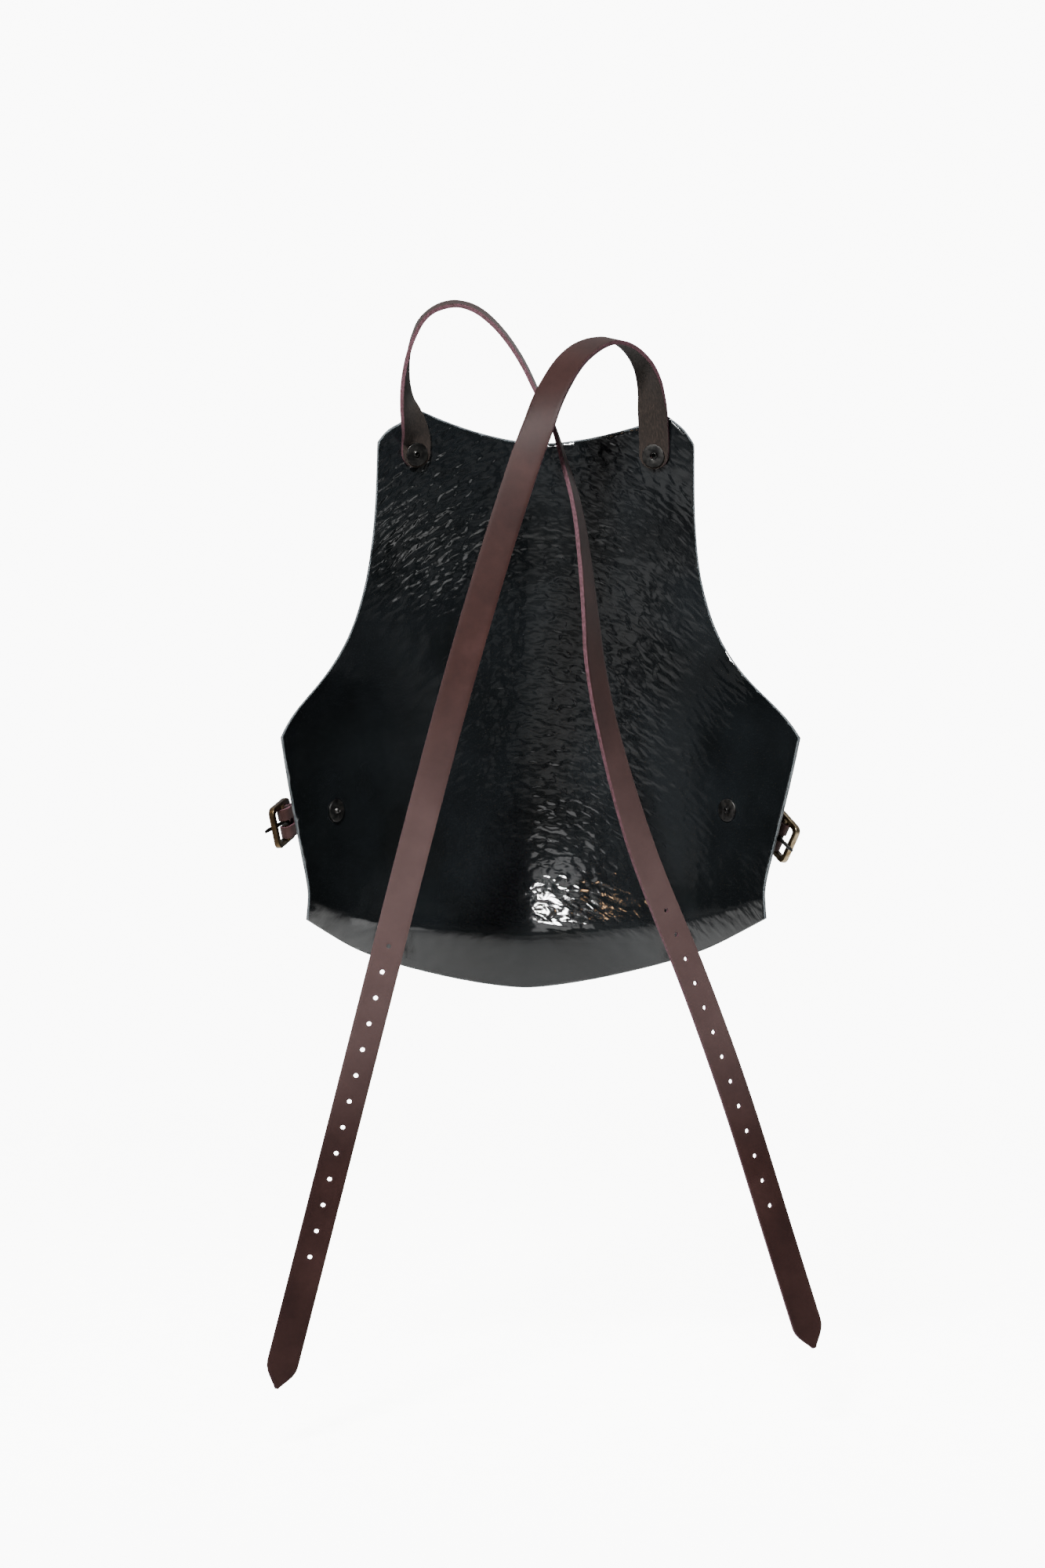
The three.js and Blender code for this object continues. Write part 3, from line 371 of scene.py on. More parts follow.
def studio_paper():
    """Matte white paper. It fades out some way from the object, so that no horizon shows."""
    m = blank("matte white paper")
    place = node(m, "ShaderNodeTexCoord").outputs["Object"]
    fibre = node(m, "ShaderNodeTexNoise", {"Scale": 60.0, "Detail": 4.0}, {"Vector": place})
    tint = node(m, "ShaderNodeValToRGB", {"stops": [(0.3, colour("#efefed")), (0.7, colour("#f3f3f2"))]},
                {"Fac": fibre})
    centred = node(m, "ShaderNodeMapping",
                   {"vector_type": "TEXTURE", "Location": (0, PAPER_BACK, FLOOR),
                    "Scale": (PAPER_FADE * PAPER_WIDE, PAPER_FADE, PAPER_FADE)}, {"Vector": place})
    distance = node(m, "ShaderNodeVectorMath", {"operation": "LENGTH"}, {0: centred}).outputs["Value"]
    fade = node(m, "ShaderNodeMapRange",
                {"interpolation_type": "SMOOTHSTEP", "From Min": 1.0, "From Max": 0.55}, {"Value": distance})
    # It is lit from below, as a light table is, and the camera sees it as white as what lies behind.
    # Straight below the object it is lit less than at both sides.
    x, y, z = node(m, "ShaderNodeSeparateXYZ", links={"Vector": place}).outputs
    side = node(m, "ShaderNodeMath", {"operation": "ABSOLUTE"}, {0: x})
    sideways = node(m, "ShaderNodeMapRange",
                    {"interpolation_type": "SMOOTHSTEP", "From Min": 0.05, "From Max": 0.4, "To Min": 0.3,
                     "To Max": PAPER_GLOW}, {"Value": side})
    seen = node(m, "ShaderNodeLightPath").outputs["Is Camera Ray"]
    glow = node(m, "ShaderNodeMix", {"data_type": "FLOAT", 3: WHITE_GROUND}, {0: seen, 2: sideways})
    shader = node(m, "ShaderNodeBsdfPrincipled", {"Roughness": 0.9},
                  {"Base Color": tint, "Emission Color": tint, "Emission Strength": glow, "Alpha": fade})
    return finish(m, shader)


# Modelling


def deselect():
    if bpy.context.object and bpy.context.object.mode != "OBJECT":
        bpy.ops.object.mode_set(mode="OBJECT")
    bpy.ops.object.select_all(action="DESELECT")


def active(piece):
    deselect()
    piece.select_set(True)
    bpy.context.view_layer.objects.active = piece


def pick_all(piece):
    """Leaves a piece in edit mode with everything selected."""
    active(piece)
    bpy.ops.object.mode_set(mode="EDIT")
    bpy.ops.mesh.select_all(action="SELECT")


def pick(piece, kind, test):
    """Selects the vertices, edges or faces of a piece that pass a test, and leaves it in edit mode."""
    active(piece)
    mesh = piece.data
    for group in (mesh.vertices, mesh.edges, mesh.polygons):
        for item in group:
            item.select = False
    for item in {"VERT": mesh.vertices, "EDGE": mesh.edges, "FACE": mesh.polygons}[kind]:
        if test(item):
            item.select = True
    bpy.ops.object.mode_set(mode="EDIT")
    bpy.ops.mesh.select_mode(type=kind)


def leave_edit():
    bpy.ops.object.mode_set(mode="OBJECT")


def modify(piece, kind, **settings):
    active(piece)
    modifier = piece.modifiers.new(kind.title(), kind)
    for key, value in settings.items():
        setattr(modifier, key, value)
    bpy.ops.object.modifier_apply(modifier=modifier.name)


def round_edges(piece, width, segments, angle=EDGE_ANGLE):
    modify(piece, "BEVEL", width=width, segments=segments, limit_method="ANGLE", angle_limit=angle)


def smooth(piece, degrees):
    active(piece)
    bpy.ops.object.shade_smooth_by_angle(angle=math.radians(degrees))


def clear_slivers(piece, width):
    """Merges the points that a bevel has left on top of each other."""
    pick_all(piece)
    bpy.ops.mesh.remove_doubles(threshold=width)
    bpy.ops.mesh.dissolve_degenerate(threshold=width)
    leave_edit()


def move_to(piece, matrix):
    piece.data.transform(matrix)
    piece.data.update()


def copy_of(master, name):
    """A copy with its own mesh."""
    piece = bpy.data.objects.new(name, master.data.copy())
    piece.data.name = name
    bpy.context.scene.collection.objects.link(piece)
    return piece


def dress(piece, materials, degrees, replaced, body):
    for material in materials:
        piece.data.materials.append(material)
    smooth(piece, degrees)
    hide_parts(replaced)
    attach(piece, body)


def combine(piece, tool, operation):
    modify(piece, "BOOLEAN", object=tool, operation=operation, solver="EXACT")
    bpy.data.objects.remove(tool)


def joined(pieces):
    active(pieces[0])
    for piece in pieces:
        piece.select_set(True)
    bpy.ops.object.join()
    return bpy.context.object


# The plate


def corners_of(mesh, rim):
    """The points where the sheet's outline turns a corner, which stay crisp when it is smoothed."""
    ends = {}
    for edge in rim:
        for one, other in (edge.vertices, reversed(edge.vertices)):
            ends.setdefault(one, []).append(mesh.vertices[other].co - mesh.vertices[one].co)
    return {point for point, ways in ends.items() if len(ways) == 2
            and min(way.length for way in ways) > CORNER_SIDE and ways[0].angle(-ways[1]) > CORNER_TURN}


def breast_plate(enamel, edge):
    """The CAD sheet, smoothed and dented. Its narrow side faces carry the second material."""
    source = nodes["breast_plate"]
    piece = bpy.data.objects.new("hammered_plate", source.data.copy())
    bpy.context.scene.collection.objects.link(piece)
    mesh = piece.data
    mesh.materials.clear()
    pick_all(piece)
    bpy.ops.mesh.remove_doubles(threshold=SAME_POINT)
    leave_edit()
    mesh.materials.append(enamel)
    mesh.materials.append(edge)
    for face in mesh.polygons:
        corners = [mesh.vertices[k].co for k in face.vertices]
        sides = [(corners[k] - corners[k - 1]).length for k in range(3)]
        if min(abs(side - SHEET) for side in sides) < 0.03 * MM and min(sides) > SHEET * 0.9:
            face.material_index = 1
    pick_all(piece)
    bpy.ops.mesh.tris_convert_to_quads(
        face_threshold=math.radians(40), shape_threshold=math.radians(60), materials=True)
    bpy.ops.mesh.select_mode(type="EDGE")
    bpy.ops.mesh.select_all(action="DESELECT")
    bpy.ops.mesh.edges_select_sharp(sharpness=math.radians(50))
    bpy.ops.transform.edge_crease(value=1)
    leave_edit()
    corners = corners_of(mesh, [edge for edge in mesh.edges if edge.select])
    pick(piece, "VERT", lambda v: v.index in corners)
    bpy.ops.transform.vert_crease(value=CORNER_CREASE)
    leave_edit()
    modify(piece, "SUBSURF", levels=2, render_levels=2)
    round_edges(piece, SHEET_BEVEL, 2)
    clear_slivers(piece, SAME_POINT)
    for name, size, depth in DENTS:
        dents = bpy.data.textures.new(name, "CLOUDS")
        dents.noise_scale = size
        modify(piece, "DISPLACE", texture=dents, texture_coords="LOCAL", direction="Y", strength=depth,
               mid_level=0.5)
    mark_painted_reflection_band(piece)
    dress(piece, [], 45, source.name, "breastplate")


def mark_painted_reflection_band(piece):
    """Marks the points on the sheet's edge and on the fine bevel beside it, which get the painted reflection.
    """
    mesh = piece.data
    wear_and_painted_reflection = np.zeros(len(mesh.vertices))
    for face in mesh.polygons:
        if face.material_index == 1:
            wear_and_painted_reflection[list(face.vertices)] = 1
    first = wear_and_painted_reflection.copy()
    for edge in mesh.edges:
        one, two = edge.vertices
        if first[one] != first[two] and (mesh.vertices[one].co - mesh.vertices[two].co).length < 0.5 * MM:
            wear_and_painted_reflection[[one, two]] = 1
    rubbed = mesh.attributes.new("rubbed", "FLOAT", "POINT")
    rubbed.data.foreach_set("value", wear_and_painted_reflection)


# Leather strips


def course_of(source, far_from):
    """The middle line of a CAD strip and the directions across it and towards its flesh side, read
    from its four long corner lines. Each line starts at the strip's end, the part of it that lies
    farthest from a given point."""
    bm = bmesh.new()
    bm.from_mesh(source.data)
    bmesh.ops.remove_doubles(bm, verts=bm.verts, dist=SAME_POINT)
    sharp = [e for e in bm.edges if e.calc_face_angle(0) > 0.9]
    links = {}
    for e in sharp:
        for vertex in e.verts:
            links.setdefault(vertex, []).append(e)
    corners = {v for v, found in links.items() if len(found) == 3}
    rims = []
    used = set()
    for e in sorted(sharp, key=lambda e: not (e.verts[0] in corners or e.verts[1] in corners)):
        if e in used or (e.verts[0] in corners and e.verts[1] in corners):
            continue
        start = e.verts[0] if e.verts[0] in corners or e.verts[1] not in corners else e.verts[1]
        line = [start]
        way = e
        while way is not None:
            used.add(way)
            line.append(way.other_vert(line[-1]))
            if line[-1] in corners or line[-1] is start:
                break
            way = next((w for w in links[line[-1]] if w not in used), None)
        rims.append(line)
    rims.sort(key=lambda line: -sum((a.co - b.co).length for a, b in zip(line, line[1:])))
    outlines = []
    for line in rims[:2]:
        points = [np.array(v.co) for v in line]
        if line[0] is line[-1]:
            points = points[:-1]
            middles = [(points[k] + points[k - 1]) / 2 for k in range(len(points))]
            first = int(np.argmax([np.linalg.norm(middle - far_from) for middle in middles]))
            points = points[first:] + points[:first]
        outlines.append(np.array(points))
    bm.free()
    # Each outline runs down one side of the strip and back up the other.
    half = len(outlines[0]) // 2
    one = (outlines[0][:half], outlines[0][::-1][:half])
    two = (outlines[1][:half], outlines[1][::-1][:half])
    if np.linalg.norm(one[0][0] - two[0][0]) > np.linalg.norm(one[0][0] - two[0][-1]):
        two = (two[0][::-1], two[1][::-1])
    middle = half // 2
    if np.linalg.norm(one[0][middle] - two[0][middle]) > np.linalg.norm(one[0][middle] - two[1][middle]):
        two = (two[1], two[0])
    centre = (one[0] + one[1] + two[0] + two[1]) / 4
    towards = (one[0] + one[1] - two[0] - two[1]) / 2
    across = one[1] + two[1] - one[0] - two[0]
    unit = lambda rows: rows / np.linalg.norm(rows, axis=1)[:, None]
    return centre, unit(across), unit(towards)


def strip_course(centre, across, flesh):
    """A smooth function of the distance along a strip, its place and the two directions, and the
    strip's length."""
    along = np.concatenate([[0], np.cumsum(np.linalg.norm(np.diff(centre, axis=0), axis=1))])
    slopes = [np.gradient(rows, along, axis=0) for rows in (centre, across, flesh)]

    def course(distance):
        k = int(np.clip(np.searchsorted(along, distance) - 1, 0, len(along) - 2))
        step = along[k + 1] - along[k]
        t = (distance - along[k]) / step
        weights = (2 * t ** 3 - 3 * t ** 2 + 1, t ** 3 - 2 * t ** 2 + t, 3 * t ** 2 - 2 * t ** 3,
                   t ** 3 - t ** 2)
        place, side, up = (
            weights[0] * rows[k] + weights[1] * step * slope[k]
            + weights[2] * rows[k + 1] + weights[3] * step * slope[k + 1]
            for rows, slope in zip((centre, across, flesh), slopes))
        side = side / np.linalg.norm(side)
        up = up - side * np.dot(up, side)
        return place, side, up / np.linalg.norm(up)

    return course, along[-1]


def end_rows(width):
    """Where a strip's rows lie along its round end."""
    return [width / 2 * (1 - math.cos(math.radians(a))) for a in (0, 12, 24, 36, 48, 60, 75, 90)]


def round_half(distance, width):
    """Half the strip's width at a distance from its round end."""
    radius = width / 2
    across = radius - min(distance, radius)
    return max(math.sqrt(radius ** 2 - across ** 2), 0.6 * MM)


def pointed_half(distance):
    """Half the strap's width at a distance from its pointed end, which is a little blunt."""
    share = min(max(distance, 0) / STRAP_TIP, 1)
    bow = math.sin(share * math.pi / 2) ** 1.2
    return STRAP_WIDTH / 2 * (STRAP_TIP_BLUNT + (1 - STRAP_TIP_BLUNT) * bow)


def flat_strip(name, rows, half_at, width, thickness, cutters):
    """A flat leather strip, grain side down, along +X from its round end."""
    deselect()
    count = len(rows) - 1
    bpy.ops.mesh.primitive_grid_add(x_subdivisions=count, y_subdivisions=8, size=1, location=(0.5, 0, 0))
    strip = bpy.context.object
    strip.name = strip.data.name = name
    bpy.ops.object.transform_apply(location=True, rotation=False, scale=False)
    for vertex in strip.data.vertices:
        row = rows[round(vertex.co.x * count)]
        vertex.co = (row, vertex.co.y * 2 * half_at(row), 0)
    modify(strip, "SOLIDIFY", thickness=thickness, offset=0)
    combine(strip, joined(cutters), "DIFFERENCE")
    round_edges(strip, LEATHER_BEVEL, 2)
    flat = strip.data.uv_layers.new(name="flat")
    for corner in strip.data.loops:
        place = strip.data.vertices[corner.vertex_index].co
        flat.data[corner.index].uv = (place.x, place.y)
    for face in strip.data.polygons:
        face.material_index = 1 if face.normal.z > 0.8 else 0 if face.normal.z < -0.8 else 2
    return strip


def lay(strip, course):
    """Bends the flat strip along its course, which no operator does without a window."""
    for vertex in strip.data.vertices:
        along, side, up = vertex.co
        place, across, flesh = course(along)
        vertex.co = Vector(place + across * side + flesh * up)
    strip.data.update()
    pick_all(strip)
    bpy.ops.mesh.normals_make_consistent(inside=False)
    leave_edit()


def punch(radius, x, sides=24):
    """A round punch through the strip or disc at x."""
    deselect()
    bpy.ops.mesh.primitive_cylinder_add(vertices=sides, radius=radius, depth=PUNCH_DEPTH, location=(x, 0, 0))
    bpy.ops.object.transform_apply(location=True, rotation=False, scale=False)
    return bpy.context.object


def shoulder_strap(word, hole_from_tip, leathers):
    source = nodes[f"{word}_shoulder_strap"]
    rivet = place_of(nodes[f"{word}_shoulder_washer"])[0]
    centre, across, flesh = course_of(source, rivet)
    if np.linalg.norm(centre[0] - rivet) > np.linalg.norm(centre[-1] - rivet):
        centre, across, flesh = centre[::-1], across[::-1], flesh[::-1]
    # At the rivet the flesh side faces into the plate's hollow.
    if flesh[1][1] < 0:
        flesh = -flesh
    course, length = strip_course(centre, across, flesh)
    ends = end_rows(STRAP_WIDTH)
    tip = [length - STRAP_TIP * share for share in (0.8, 0.6, 0.45, 0.3, 0.18, 0.08, 0)]
    body = np.linspace(ends[-1], length - STRAP_TIP, round((length - STRAP_TIP - ends[-1]) / STRAP_GRID))
    rows = ends + list(body[1:]) + tip
    half_at = lambda x: min(round_half(x, STRAP_WIDTH), pointed_half(length - x))
    holes = [length - hole_from_tip - k * STRAP_HOLE_PITCH for k in range(STRAP_HOLES)]
    cutters = [punch(RIVET_HOLE, RIVET_FROM_END)] + [punch(STRAP_HOLE, hole) for hole in holes]
    strip = flat_strip(f"{word}_strap_leather", rows, half_at, STRAP_WIDTH, STRAP_THICKNESS, cutters)
    lay(strip, course)
    dress(strip, leathers, 40, source.name, "breastplate")


def chape(word, leathers):
    """The tab that is folded round a buckle's bar, with a slot for the tongue."""
    source = nodes[f"{word}_buckle_chape"]
    centre, across, flesh = course_of(source, np.array(joints[f"{word}_buckle_swivel"]["pos_m"]))
    # The flesh side lies inside the fold.
    middle = len(centre) // 2
    inner = (centre[0] + centre[-1]) / 2 - centre[middle]
    if np.dot(flesh[middle], inner) < 0:
        flesh = -flesh
    course, length = strip_course(centre, across, flesh)
    ends = end_rows(CHAPE_WIDTH)
    body = np.linspace(ends[-1], length - ends[-1], round((length - 2 * ends[-1]) / CHAPE_GRID))
    rows = ends + list(body[1:-1]) + [length - x for x in reversed(ends)]
    half_at = lambda x: round_half(min(x, length - x), CHAPE_WIDTH)
    deselect()
    bpy.ops.mesh.primitive_cube_add(size=1, location=(length / 2, 0, 0))
    slot = bpy.context.object
    slot.scale = CHAPE_SLOT
    bpy.ops.object.transform_apply(location=True, rotation=False, scale=True)
    modify(slot, "BEVEL", width=CHAPE_SLOT_ROUND, segments=5, limit_method="ANGLE")
    rivet = CHAPE_WIDTH / 2
    cutters = [slot, punch(RIVET_HOLE, rivet), punch(RIVET_HOLE, length - rivet)]
    strip = flat_strip(f"{word}_chape_leather", rows, half_at, CHAPE_WIDTH, CHAPE_THICKNESS, cutters)
    lay(strip, course)
    dress(strip, leathers, 40, source.name, "breastplate")


# Rivets and washers


def place_of(source):
    """Centre, axis and points of a round CAD node. The axis points into the hollow of the plate."""
    points = np.array([v.co for v in source.data.vertices])
    centre = (points.min(0) + points.max(0)) / 2
    values, vectors = np.linalg.eigh(np.cov((points - points.mean(0)).T))
    spread = sorted(range(3), key=lambda k: values[k])
    ratio_low = values[spread[1]] / values[spread[0]]
    ratio_high = values[spread[2]] / values[spread[1]]
    axis = vectors[:, spread[0]] if ratio_low > ratio_high else vectors[:, spread[2]]
    if axis[1] < 0:
        axis = -axis
    return centre, axis, points


def stand(piece, origin, axis):
    """Puts a piece that was modelled along +Z at a place, along an axis."""
    turn = Vector((0, 0, 1)).rotation_difference(Vector(axis)).to_matrix().to_4x4()
    move_to(piece, Matrix.Translation(Vector(origin)) @ turn)


def washer_disc():
    deselect()
    bpy.ops.mesh.primitive_cylinder_add(vertices=64, radius=WASHER_RADIUS, depth=WASHER_THICKNESS)
    piece = bpy.context.object
    combine(piece, punch(RIVET_HOLE, 0, sides=48), "DIFFERENCE")
    round_edges(piece, WASHER_BEVEL, 3)
    return piece


def levels_of(source):
    """Where along its axis a rivet's dome starts, its head ends, its hammered end starts and ends."""
    centre, axis, points = place_of(source)
    heights = (points - centre) @ axis
    radius = np.linalg.norm(points - centre - np.outer(heights, axis), axis=1)
    head = heights[radius > HEAD_RADIUS - 0.5 * MM].max()
    peen = heights[abs(radius - PEEN_RADIUS) < 0.2 * MM].min()
    return heights.min(), head, peen, heights.max()


def rivet_body(bottom, head, peen, top):
    """A rivet with its head's flat side at the origin: a dome, a shank and the end that was hammered
    over the washer."""
    deselect()
    bpy.ops.mesh.primitive_uv_sphere_add(segments=48, ring_count=24, radius=1)
    piece = bpy.context.object
    pick_all(piece)
    bpy.ops.mesh.bisect(plane_co=(0, 0, 0), plane_no=(0, 0, 1), clear_outer=True, use_fill=False)
    bpy.ops.mesh.select_all(action="SELECT")
    bpy.ops.transform.resize(value=(HEAD_RADIUS, HEAD_RADIUS, head - bottom), center_override=(0, 0, 0))
    leave_edit()
    # The shank and the hammered end with its dimple are drawn out of the head's open rim, step by step:
    # the new radius and how far it is moved up.
    end = top - peen
    steps = [(SHANK_RADIUS, 0), (SHANK_RADIUS, peen - head), (PEEN_RADIUS, 0),
             (0.97 * PEEN_RADIUS, 0.5 * end), (0.76 * PEEN_RADIUS, 0.4 * end), (0.45 * PEEN_RADIUS, 0.1 * end),
             (0.27 * PEEN_RADIUS, -0.3 * end), (0.09 * PEEN_RADIUS, -0.1 * end)]
    pick(piece, "EDGE", lambda e: all(abs(piece.data.vertices[k].co.z) < 0.001 * MM for k in e.vertices))
    now = HEAD_RADIUS
    level = 0
    for size, rise in steps:
        bpy.ops.mesh.extrude_region_move(TRANSFORM_OT_translate={"value": (0, 0, rise)})
        level += rise
        bpy.ops.transform.resize(value=(size / now, size / now, 1), center_override=(0, 0, level))
        now = size
    bpy.ops.mesh.edge_face_add()
    bpy.ops.mesh.select_all(action="SELECT")
    bpy.ops.mesh.normals_make_consistent(inside=False)
    leave_edit()
    round_edges(piece, RIVET_BEVEL, 2, math.radians(50))
    return piece


def fastenings(steel):
    """Four washers from one disc, and for each kind of place two rivets from one body."""
    disc = washer_disc()
    for place in ("shoulder", "side"):
        body = rivet_body(*levels_of(nodes[f"left_{place}_rivet"]))
        for word in ("left", "right"):
            source = nodes[f"{word}_{place}_rivet"]
            centre, axis, points = place_of(source)
            rivet = copy_of(body, f"{word}_{place}_rivet_body")
            stand(rivet, centre + axis * levels_of(source)[1], axis)
            dress(rivet, [steel], 45, source.name, "breastplate")
            source = nodes[f"{word}_{place}_washer"]
            centre, axis, points = place_of(source)
            heights = (points - centre) @ axis
            washer = copy_of(disc, f"{word}_{place}_washer_disc")
            stand(washer, centre + axis * (heights.max() + heights.min()) / 2, axis)
            dress(washer, [steel], 45, source.name, "breastplate")
        bpy.data.objects.remove(body)
    bpy.data.objects.remove(disc)


# Buckles


def buckle_matrix(word):
    """The buckle's own frame: X from the rivet to its outer end, Y along the bar, Z off the plate."""
    joint = joints[f"{word}_buckle_swivel"]
    y = Vector(joint["axis"]).normalized()
    origin = Vector(joint["pos_m"])
    points = np.array([v.co for v in nodes[f"{word}_buckle_frame"].data.vertices])
    values, vectors = np.linalg.eigh(np.cov((points - points.mean(0)).T))
    z = Vector(vectors[:, 0])
    z = (z - y * z.dot(y)).normalized()
    if z.dot(Vector(points.mean(0)) - origin) < 0:
        z = -z
    x = y.cross(z)
    return Matrix.Translation(origin) @ Matrix((x, y, z)).transposed().to_4x4()


def buckle_frame():
    """A rounded ring with a bar across its middle."""
    deselect()
    bpy.ops.mesh.primitive_cube_add(size=1)
    piece = bpy.context.object
    piece.scale = (FRAME_LENGTH, FRAME_HEIGHT, FRAME_THICKNESS)
    bpy.ops.object.transform_apply(location=False, rotation=False, scale=True)
    pick(piece, "FACE", lambda f: abs(f.normal.z) > 0.9)
    bpy.ops.mesh.inset(thickness=FRAME_SIDE)
    bpy.ops.mesh.bridge_edge_loops()
    leave_edit()

    def corner_at(edge, x, y):
        """Whether an edge runs through the frame's thickness, x and y away from its middle."""
        one, two = (piece.data.vertices[k].co for k in edge.vertices)
        return (abs(one.z - two.z) > FRAME_THICKNESS / 2
                and all(abs(abs(end.x) - x) + abs(abs(end.y) - y) < 0.1 * MM for end in (one, two)))

    for inward, radius, segments in ((0, FRAME_OUTER_ROUND, 6), (FRAME_SIDE, FRAME_INNER_ROUND, 4)):
        corner = (FRAME_LENGTH / 2 - inward, FRAME_HEIGHT / 2 - inward)
        pick(piece, "EDGE", lambda e: corner_at(e, *corner))
        bpy.ops.mesh.bevel(offset=radius, segments=segments, affect="EDGES")
        leave_edit()
    round_edges(piece, FRAME_BEVEL, 4, math.radians(50))
    move_to(piece, Matrix.Translation((0, 0, FRAME_LIFT + FRAME_THICKNESS / 2)))
    deselect()
    bpy.ops.mesh.primitive_cylinder_add(
        vertices=32, radius=BAR_RADIUS, depth=FRAME_HEIGHT - FRAME_SIDE, rotation=(math.pi / 2, 0, 0))
    bar = bpy.context.object
    bpy.ops.object.transform_apply(location=False, rotation=True, scale=False)
    combine(piece, bar, "UNION")
    return piece


def tongue_wire():
    """A steel wire tongue: a ring round the bar and an arm drawn out to a flat tip."""
    deselect()
    ring = (EYE_RADIUS + BAR_RADIUS + BAR_PLAY) / 2
    wire = (EYE_RADIUS - BAR_RADIUS - BAR_PLAY) / 2
    bpy.ops.mesh.primitive_torus_add(
        major_radius=ring, minor_radius=wire, major_segments=48, minor_segments=16,
        rotation=(math.pi / 2, 0, 0))
    eye = bpy.context.object
    bpy.ops.object.transform_apply(location=False, rotation=True, scale=False)
    pick_all(eye)
    bpy.ops.transform.resize(value=(1, TONGUE_WIDTH / 2 / wire, 1), center_override=(0, 0, 0))
    leave_edit()
    deselect()
    half = TONGUE_THICKNESS / 2
    bpy.ops.mesh.primitive_cylinder_add(
        vertices=24, radius=half, depth=TONGUE_REACH, rotation=(0, math.pi / 2, 0),
        location=(TONGUE_REACH / 2, 0, EYE_RADIUS - half))
    piece = bpy.context.object
    bpy.ops.object.transform_apply(location=True, rotation=True, scale=False)
    pick_all(piece)
    bpy.ops.transform.resize(value=(1, TONGUE_WIDTH / TONGUE_THICKNESS, 1), center_override=(0, 0, 0))
    for along in (EYE_RADIUS, TONGUE_REACH - TONGUE_TAPER):
        bpy.ops.mesh.select_all(action="SELECT")
        bpy.ops.mesh.bisect(plane_co=(along, 0, 0), plane_no=(1, 0, 0))
    leave_edit()
    # The arm's root is flattened into the ring, and its tip towards the frame.
    pick(piece, "VERT", lambda v: v.co.x < EYE_RADIUS / 2)
    bpy.ops.transform.resize(value=(1, 1, 0.5), center_override=(0, 0, EYE_RADIUS))
    leave_edit()
    pick(piece, "VERT", lambda v: v.co.x > TONGUE_REACH - TONGUE_TAPER / 2)
    bpy.ops.transform.resize(value=TONGUE_TIP, center_override=(0, 0, EYE_RADIUS - TONGUE_THICKNESS))
    leave_edit()
    combine(piece, eye, "UNION")
    round_edges(piece, TONGUE_BEVEL, 2)
    clear_slivers(piece, 0.03 * MM)
    return piece


def buckles(brass, steel):
    """Two buckles from one frame and one tongue. The left tongue lies on the frame's face, the right
    one on its back."""
    frame_master = buckle_frame()
    tongue_master = tongue_wire()
    turned_over = Matrix.Rotation(math.pi, 4, "X") @ Matrix.Rotation(TONGUE_ON_BACK, 4, "Y")
    for word, turn in (("left", Matrix.Rotation(TONGUE_ON_FACE, 4, "Y")), ("right", turned_over)):
        piece = copy_of(frame_master, f"{word}_buckle_brass")
        move_to(piece, buckle_matrix(word))
        dress(piece, [brass], 40, f"{word}_buckle_frame", f"{word}_buckle")
        piece = copy_of(tongue_master, f"{word}_tongue_wire")
        move_to(piece, buckle_matrix(word) @ turn)
        dress(piece, [steel], 40, f"{word}_buckle_tongue", f"{word}_tongue")
    bpy.data.objects.remove(frame_master)
    bpy.data.objects.remove(tongue_master)


# Stage


def paper_floor(paper):
    deselect()
    bpy.ops.mesh.primitive_circle_add(
        vertices=64, radius=PAPER_FADE, fill_type="NGON", location=(0, PAPER_BACK, FLOOR))
    floor = bpy.context.object
    floor.name = floor.data.name = "paper_floor"
    bpy.ops.object.transform_apply(location=True, rotation=False, scale=False)
    pick_all(floor)
    bpy.ops.transform.resize(value=(PAPER_WIDE, 1, 1), center_override=(0, 0, 0))
    bpy.ops.mesh.inset(thickness=PAPER_FADE / 4)
    bpy.ops.mesh.inset(thickness=PAPER_FADE / 4)
    leave_edit()
    floor.data.materials.append(paper)


def softbox(name, place, target, size, power, spread, tint):
    light = bpy.data.lights.new(name, "AREA")
    light.shape = "RECTANGLE"
    light.size, light.size_y = size
    light.energy = power
    light.color = colour(tint)[:3]
    light.spread = math.radians(spread)
    lamp = bpy.data.objects.new(name, light)
    bpy.context.scene.collection.objects.link(lamp)
    lamp.location = place
    lamp.rotation_euler = (Vector(target) - Vector(place)).to_track_quat("-Z", "Y").to_euler()


def camera():
    data = bpy.data.cameras.new("camera")
    data.sensor_fit = "VERTICAL"
    data.sensor_height = CAMERA_FILM
    data.lens = CAMERA_LENS
    data.clip_end = CAMERA_REACH
    made = bpy.data.objects.new("camera", data)
    bpy.context.scene.collection.objects.link(made)
    made.location = CAMERA_PLACE
    made.rotation_euler = Vector(CAMERA_WAY).to_track_quat("-Z", "Y").to_euler()
    bpy.context.scene.camera = made


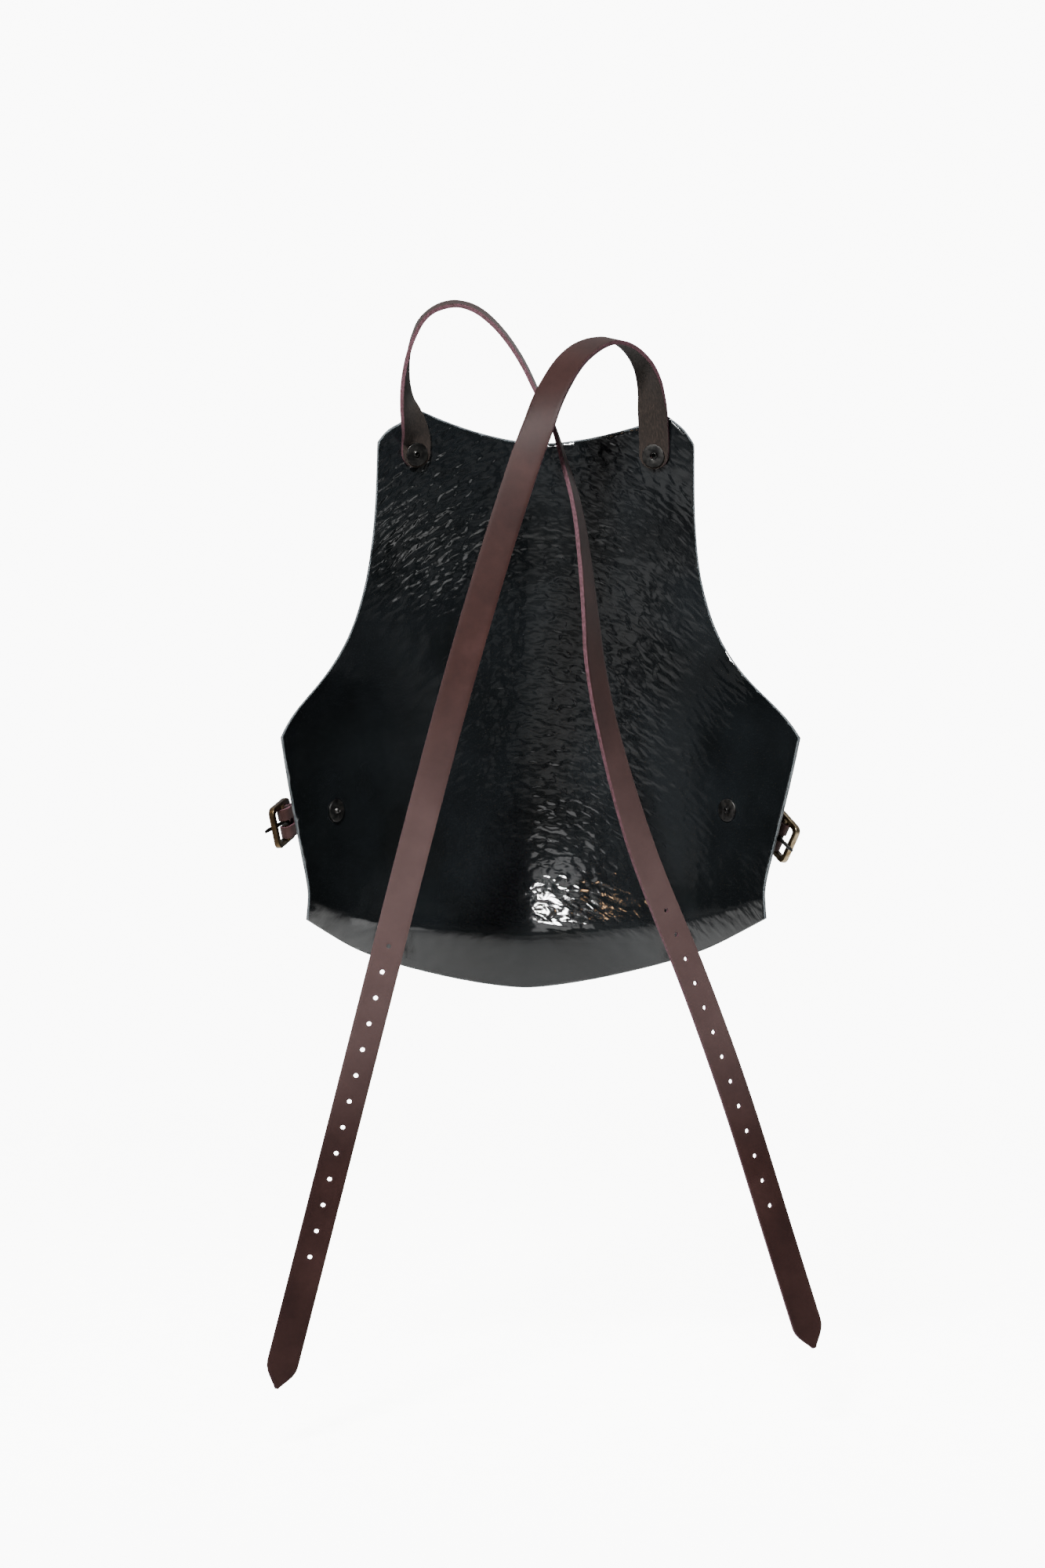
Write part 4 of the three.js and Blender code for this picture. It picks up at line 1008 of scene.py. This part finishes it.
def surroundings():
    """White for the camera. What lights and reflects is even behind the object and dimmer in front."""
    world = bpy.data.worlds.new("white studio")
    bpy.context.scene.world = world
    world.use_nodes = True
    world.node_tree.nodes.clear()
    way = node(world, "ShaderNodeTexCoord").outputs["Generated"]
    x, y, z = node(world, "ShaderNodeSeparateXYZ", links={"Vector": way}).outputs
    behind = node(world, "ShaderNodeMapRange", {"From Min": 0.15, "From Max": -0.35}, {"Value": y})
    # In front: brighter low down and to the wearer's left, in soft bands as rows of lamps give.
    low = node(world, "ShaderNodeMapRange",
               {"From Min": 0.1, "From Max": -0.3, "To Min": ROOM_DIM, "To Max": ROOM_LOW}, {"Value": z})
    leftward = node(world, "ShaderNodeMapRange",
                    {"From Min": -0.3, "From Max": 0.7, "To Min": 0.5, "To Max": 1.6}, {"Value": x})
    turns = node(world, "ShaderNodeMath", {"operation": "MULTIPLY", 1: 14.0}, {0: z})
    wave = node(world, "ShaderNodeMath", {"operation": "SINE"}, {0: turns})
    bands = node(world, "ShaderNodeMapRange", {"From Min": -1.0, "To Min": 0.3, "To Max": 1.3},
                 {"Value": wave})
    sided = node(world, "ShaderNodeMath", {"operation": "MULTIPLY"}, {0: low, 1: leftward})
    front = node(world, "ShaderNodeMath", {"operation": "MULTIPLY"}, {0: sided, 1: bands})
    room = node(world, "ShaderNodeMix", {"data_type": "FLOAT", 3: ROOM_BEHIND}, {0: behind, 2: front})
    seen = node(world, "ShaderNodeLightPath").outputs["Is Camera Ray"]
    strength = node(world, "ShaderNodeMix", {"data_type": "FLOAT", 3: WHITE_GROUND}, {0: seen, 2: room})
    light = node(world, "ShaderNodeBackground", {"Color": colour("#f7f7f6")}, {"Strength": strength})
    node(world, "ShaderNodeOutputWorld", links={"Surface": light})


enamel = hammered_black_enamel()
leathers = [harness_leather_grain(), harness_leather_flesh(), harness_leather_cut()]
steel = blackened_steel()
brass = aged_brass()

breast_plate(enamel, sheet_edge_painted_reflection())
shoulder_strap("left", LEFT_FIRST_HOLE, leathers)
shoulder_strap("right", RIGHT_FIRST_HOLE, leathers)
for word in ("left", "right"):
    chape(word, leathers)
fastenings(steel)
buckles(brass, steel)

paper_floor(studio_paper())
surroundings()
for name, settings in LAMPS.items():
    softbox(name, *settings)
camera()
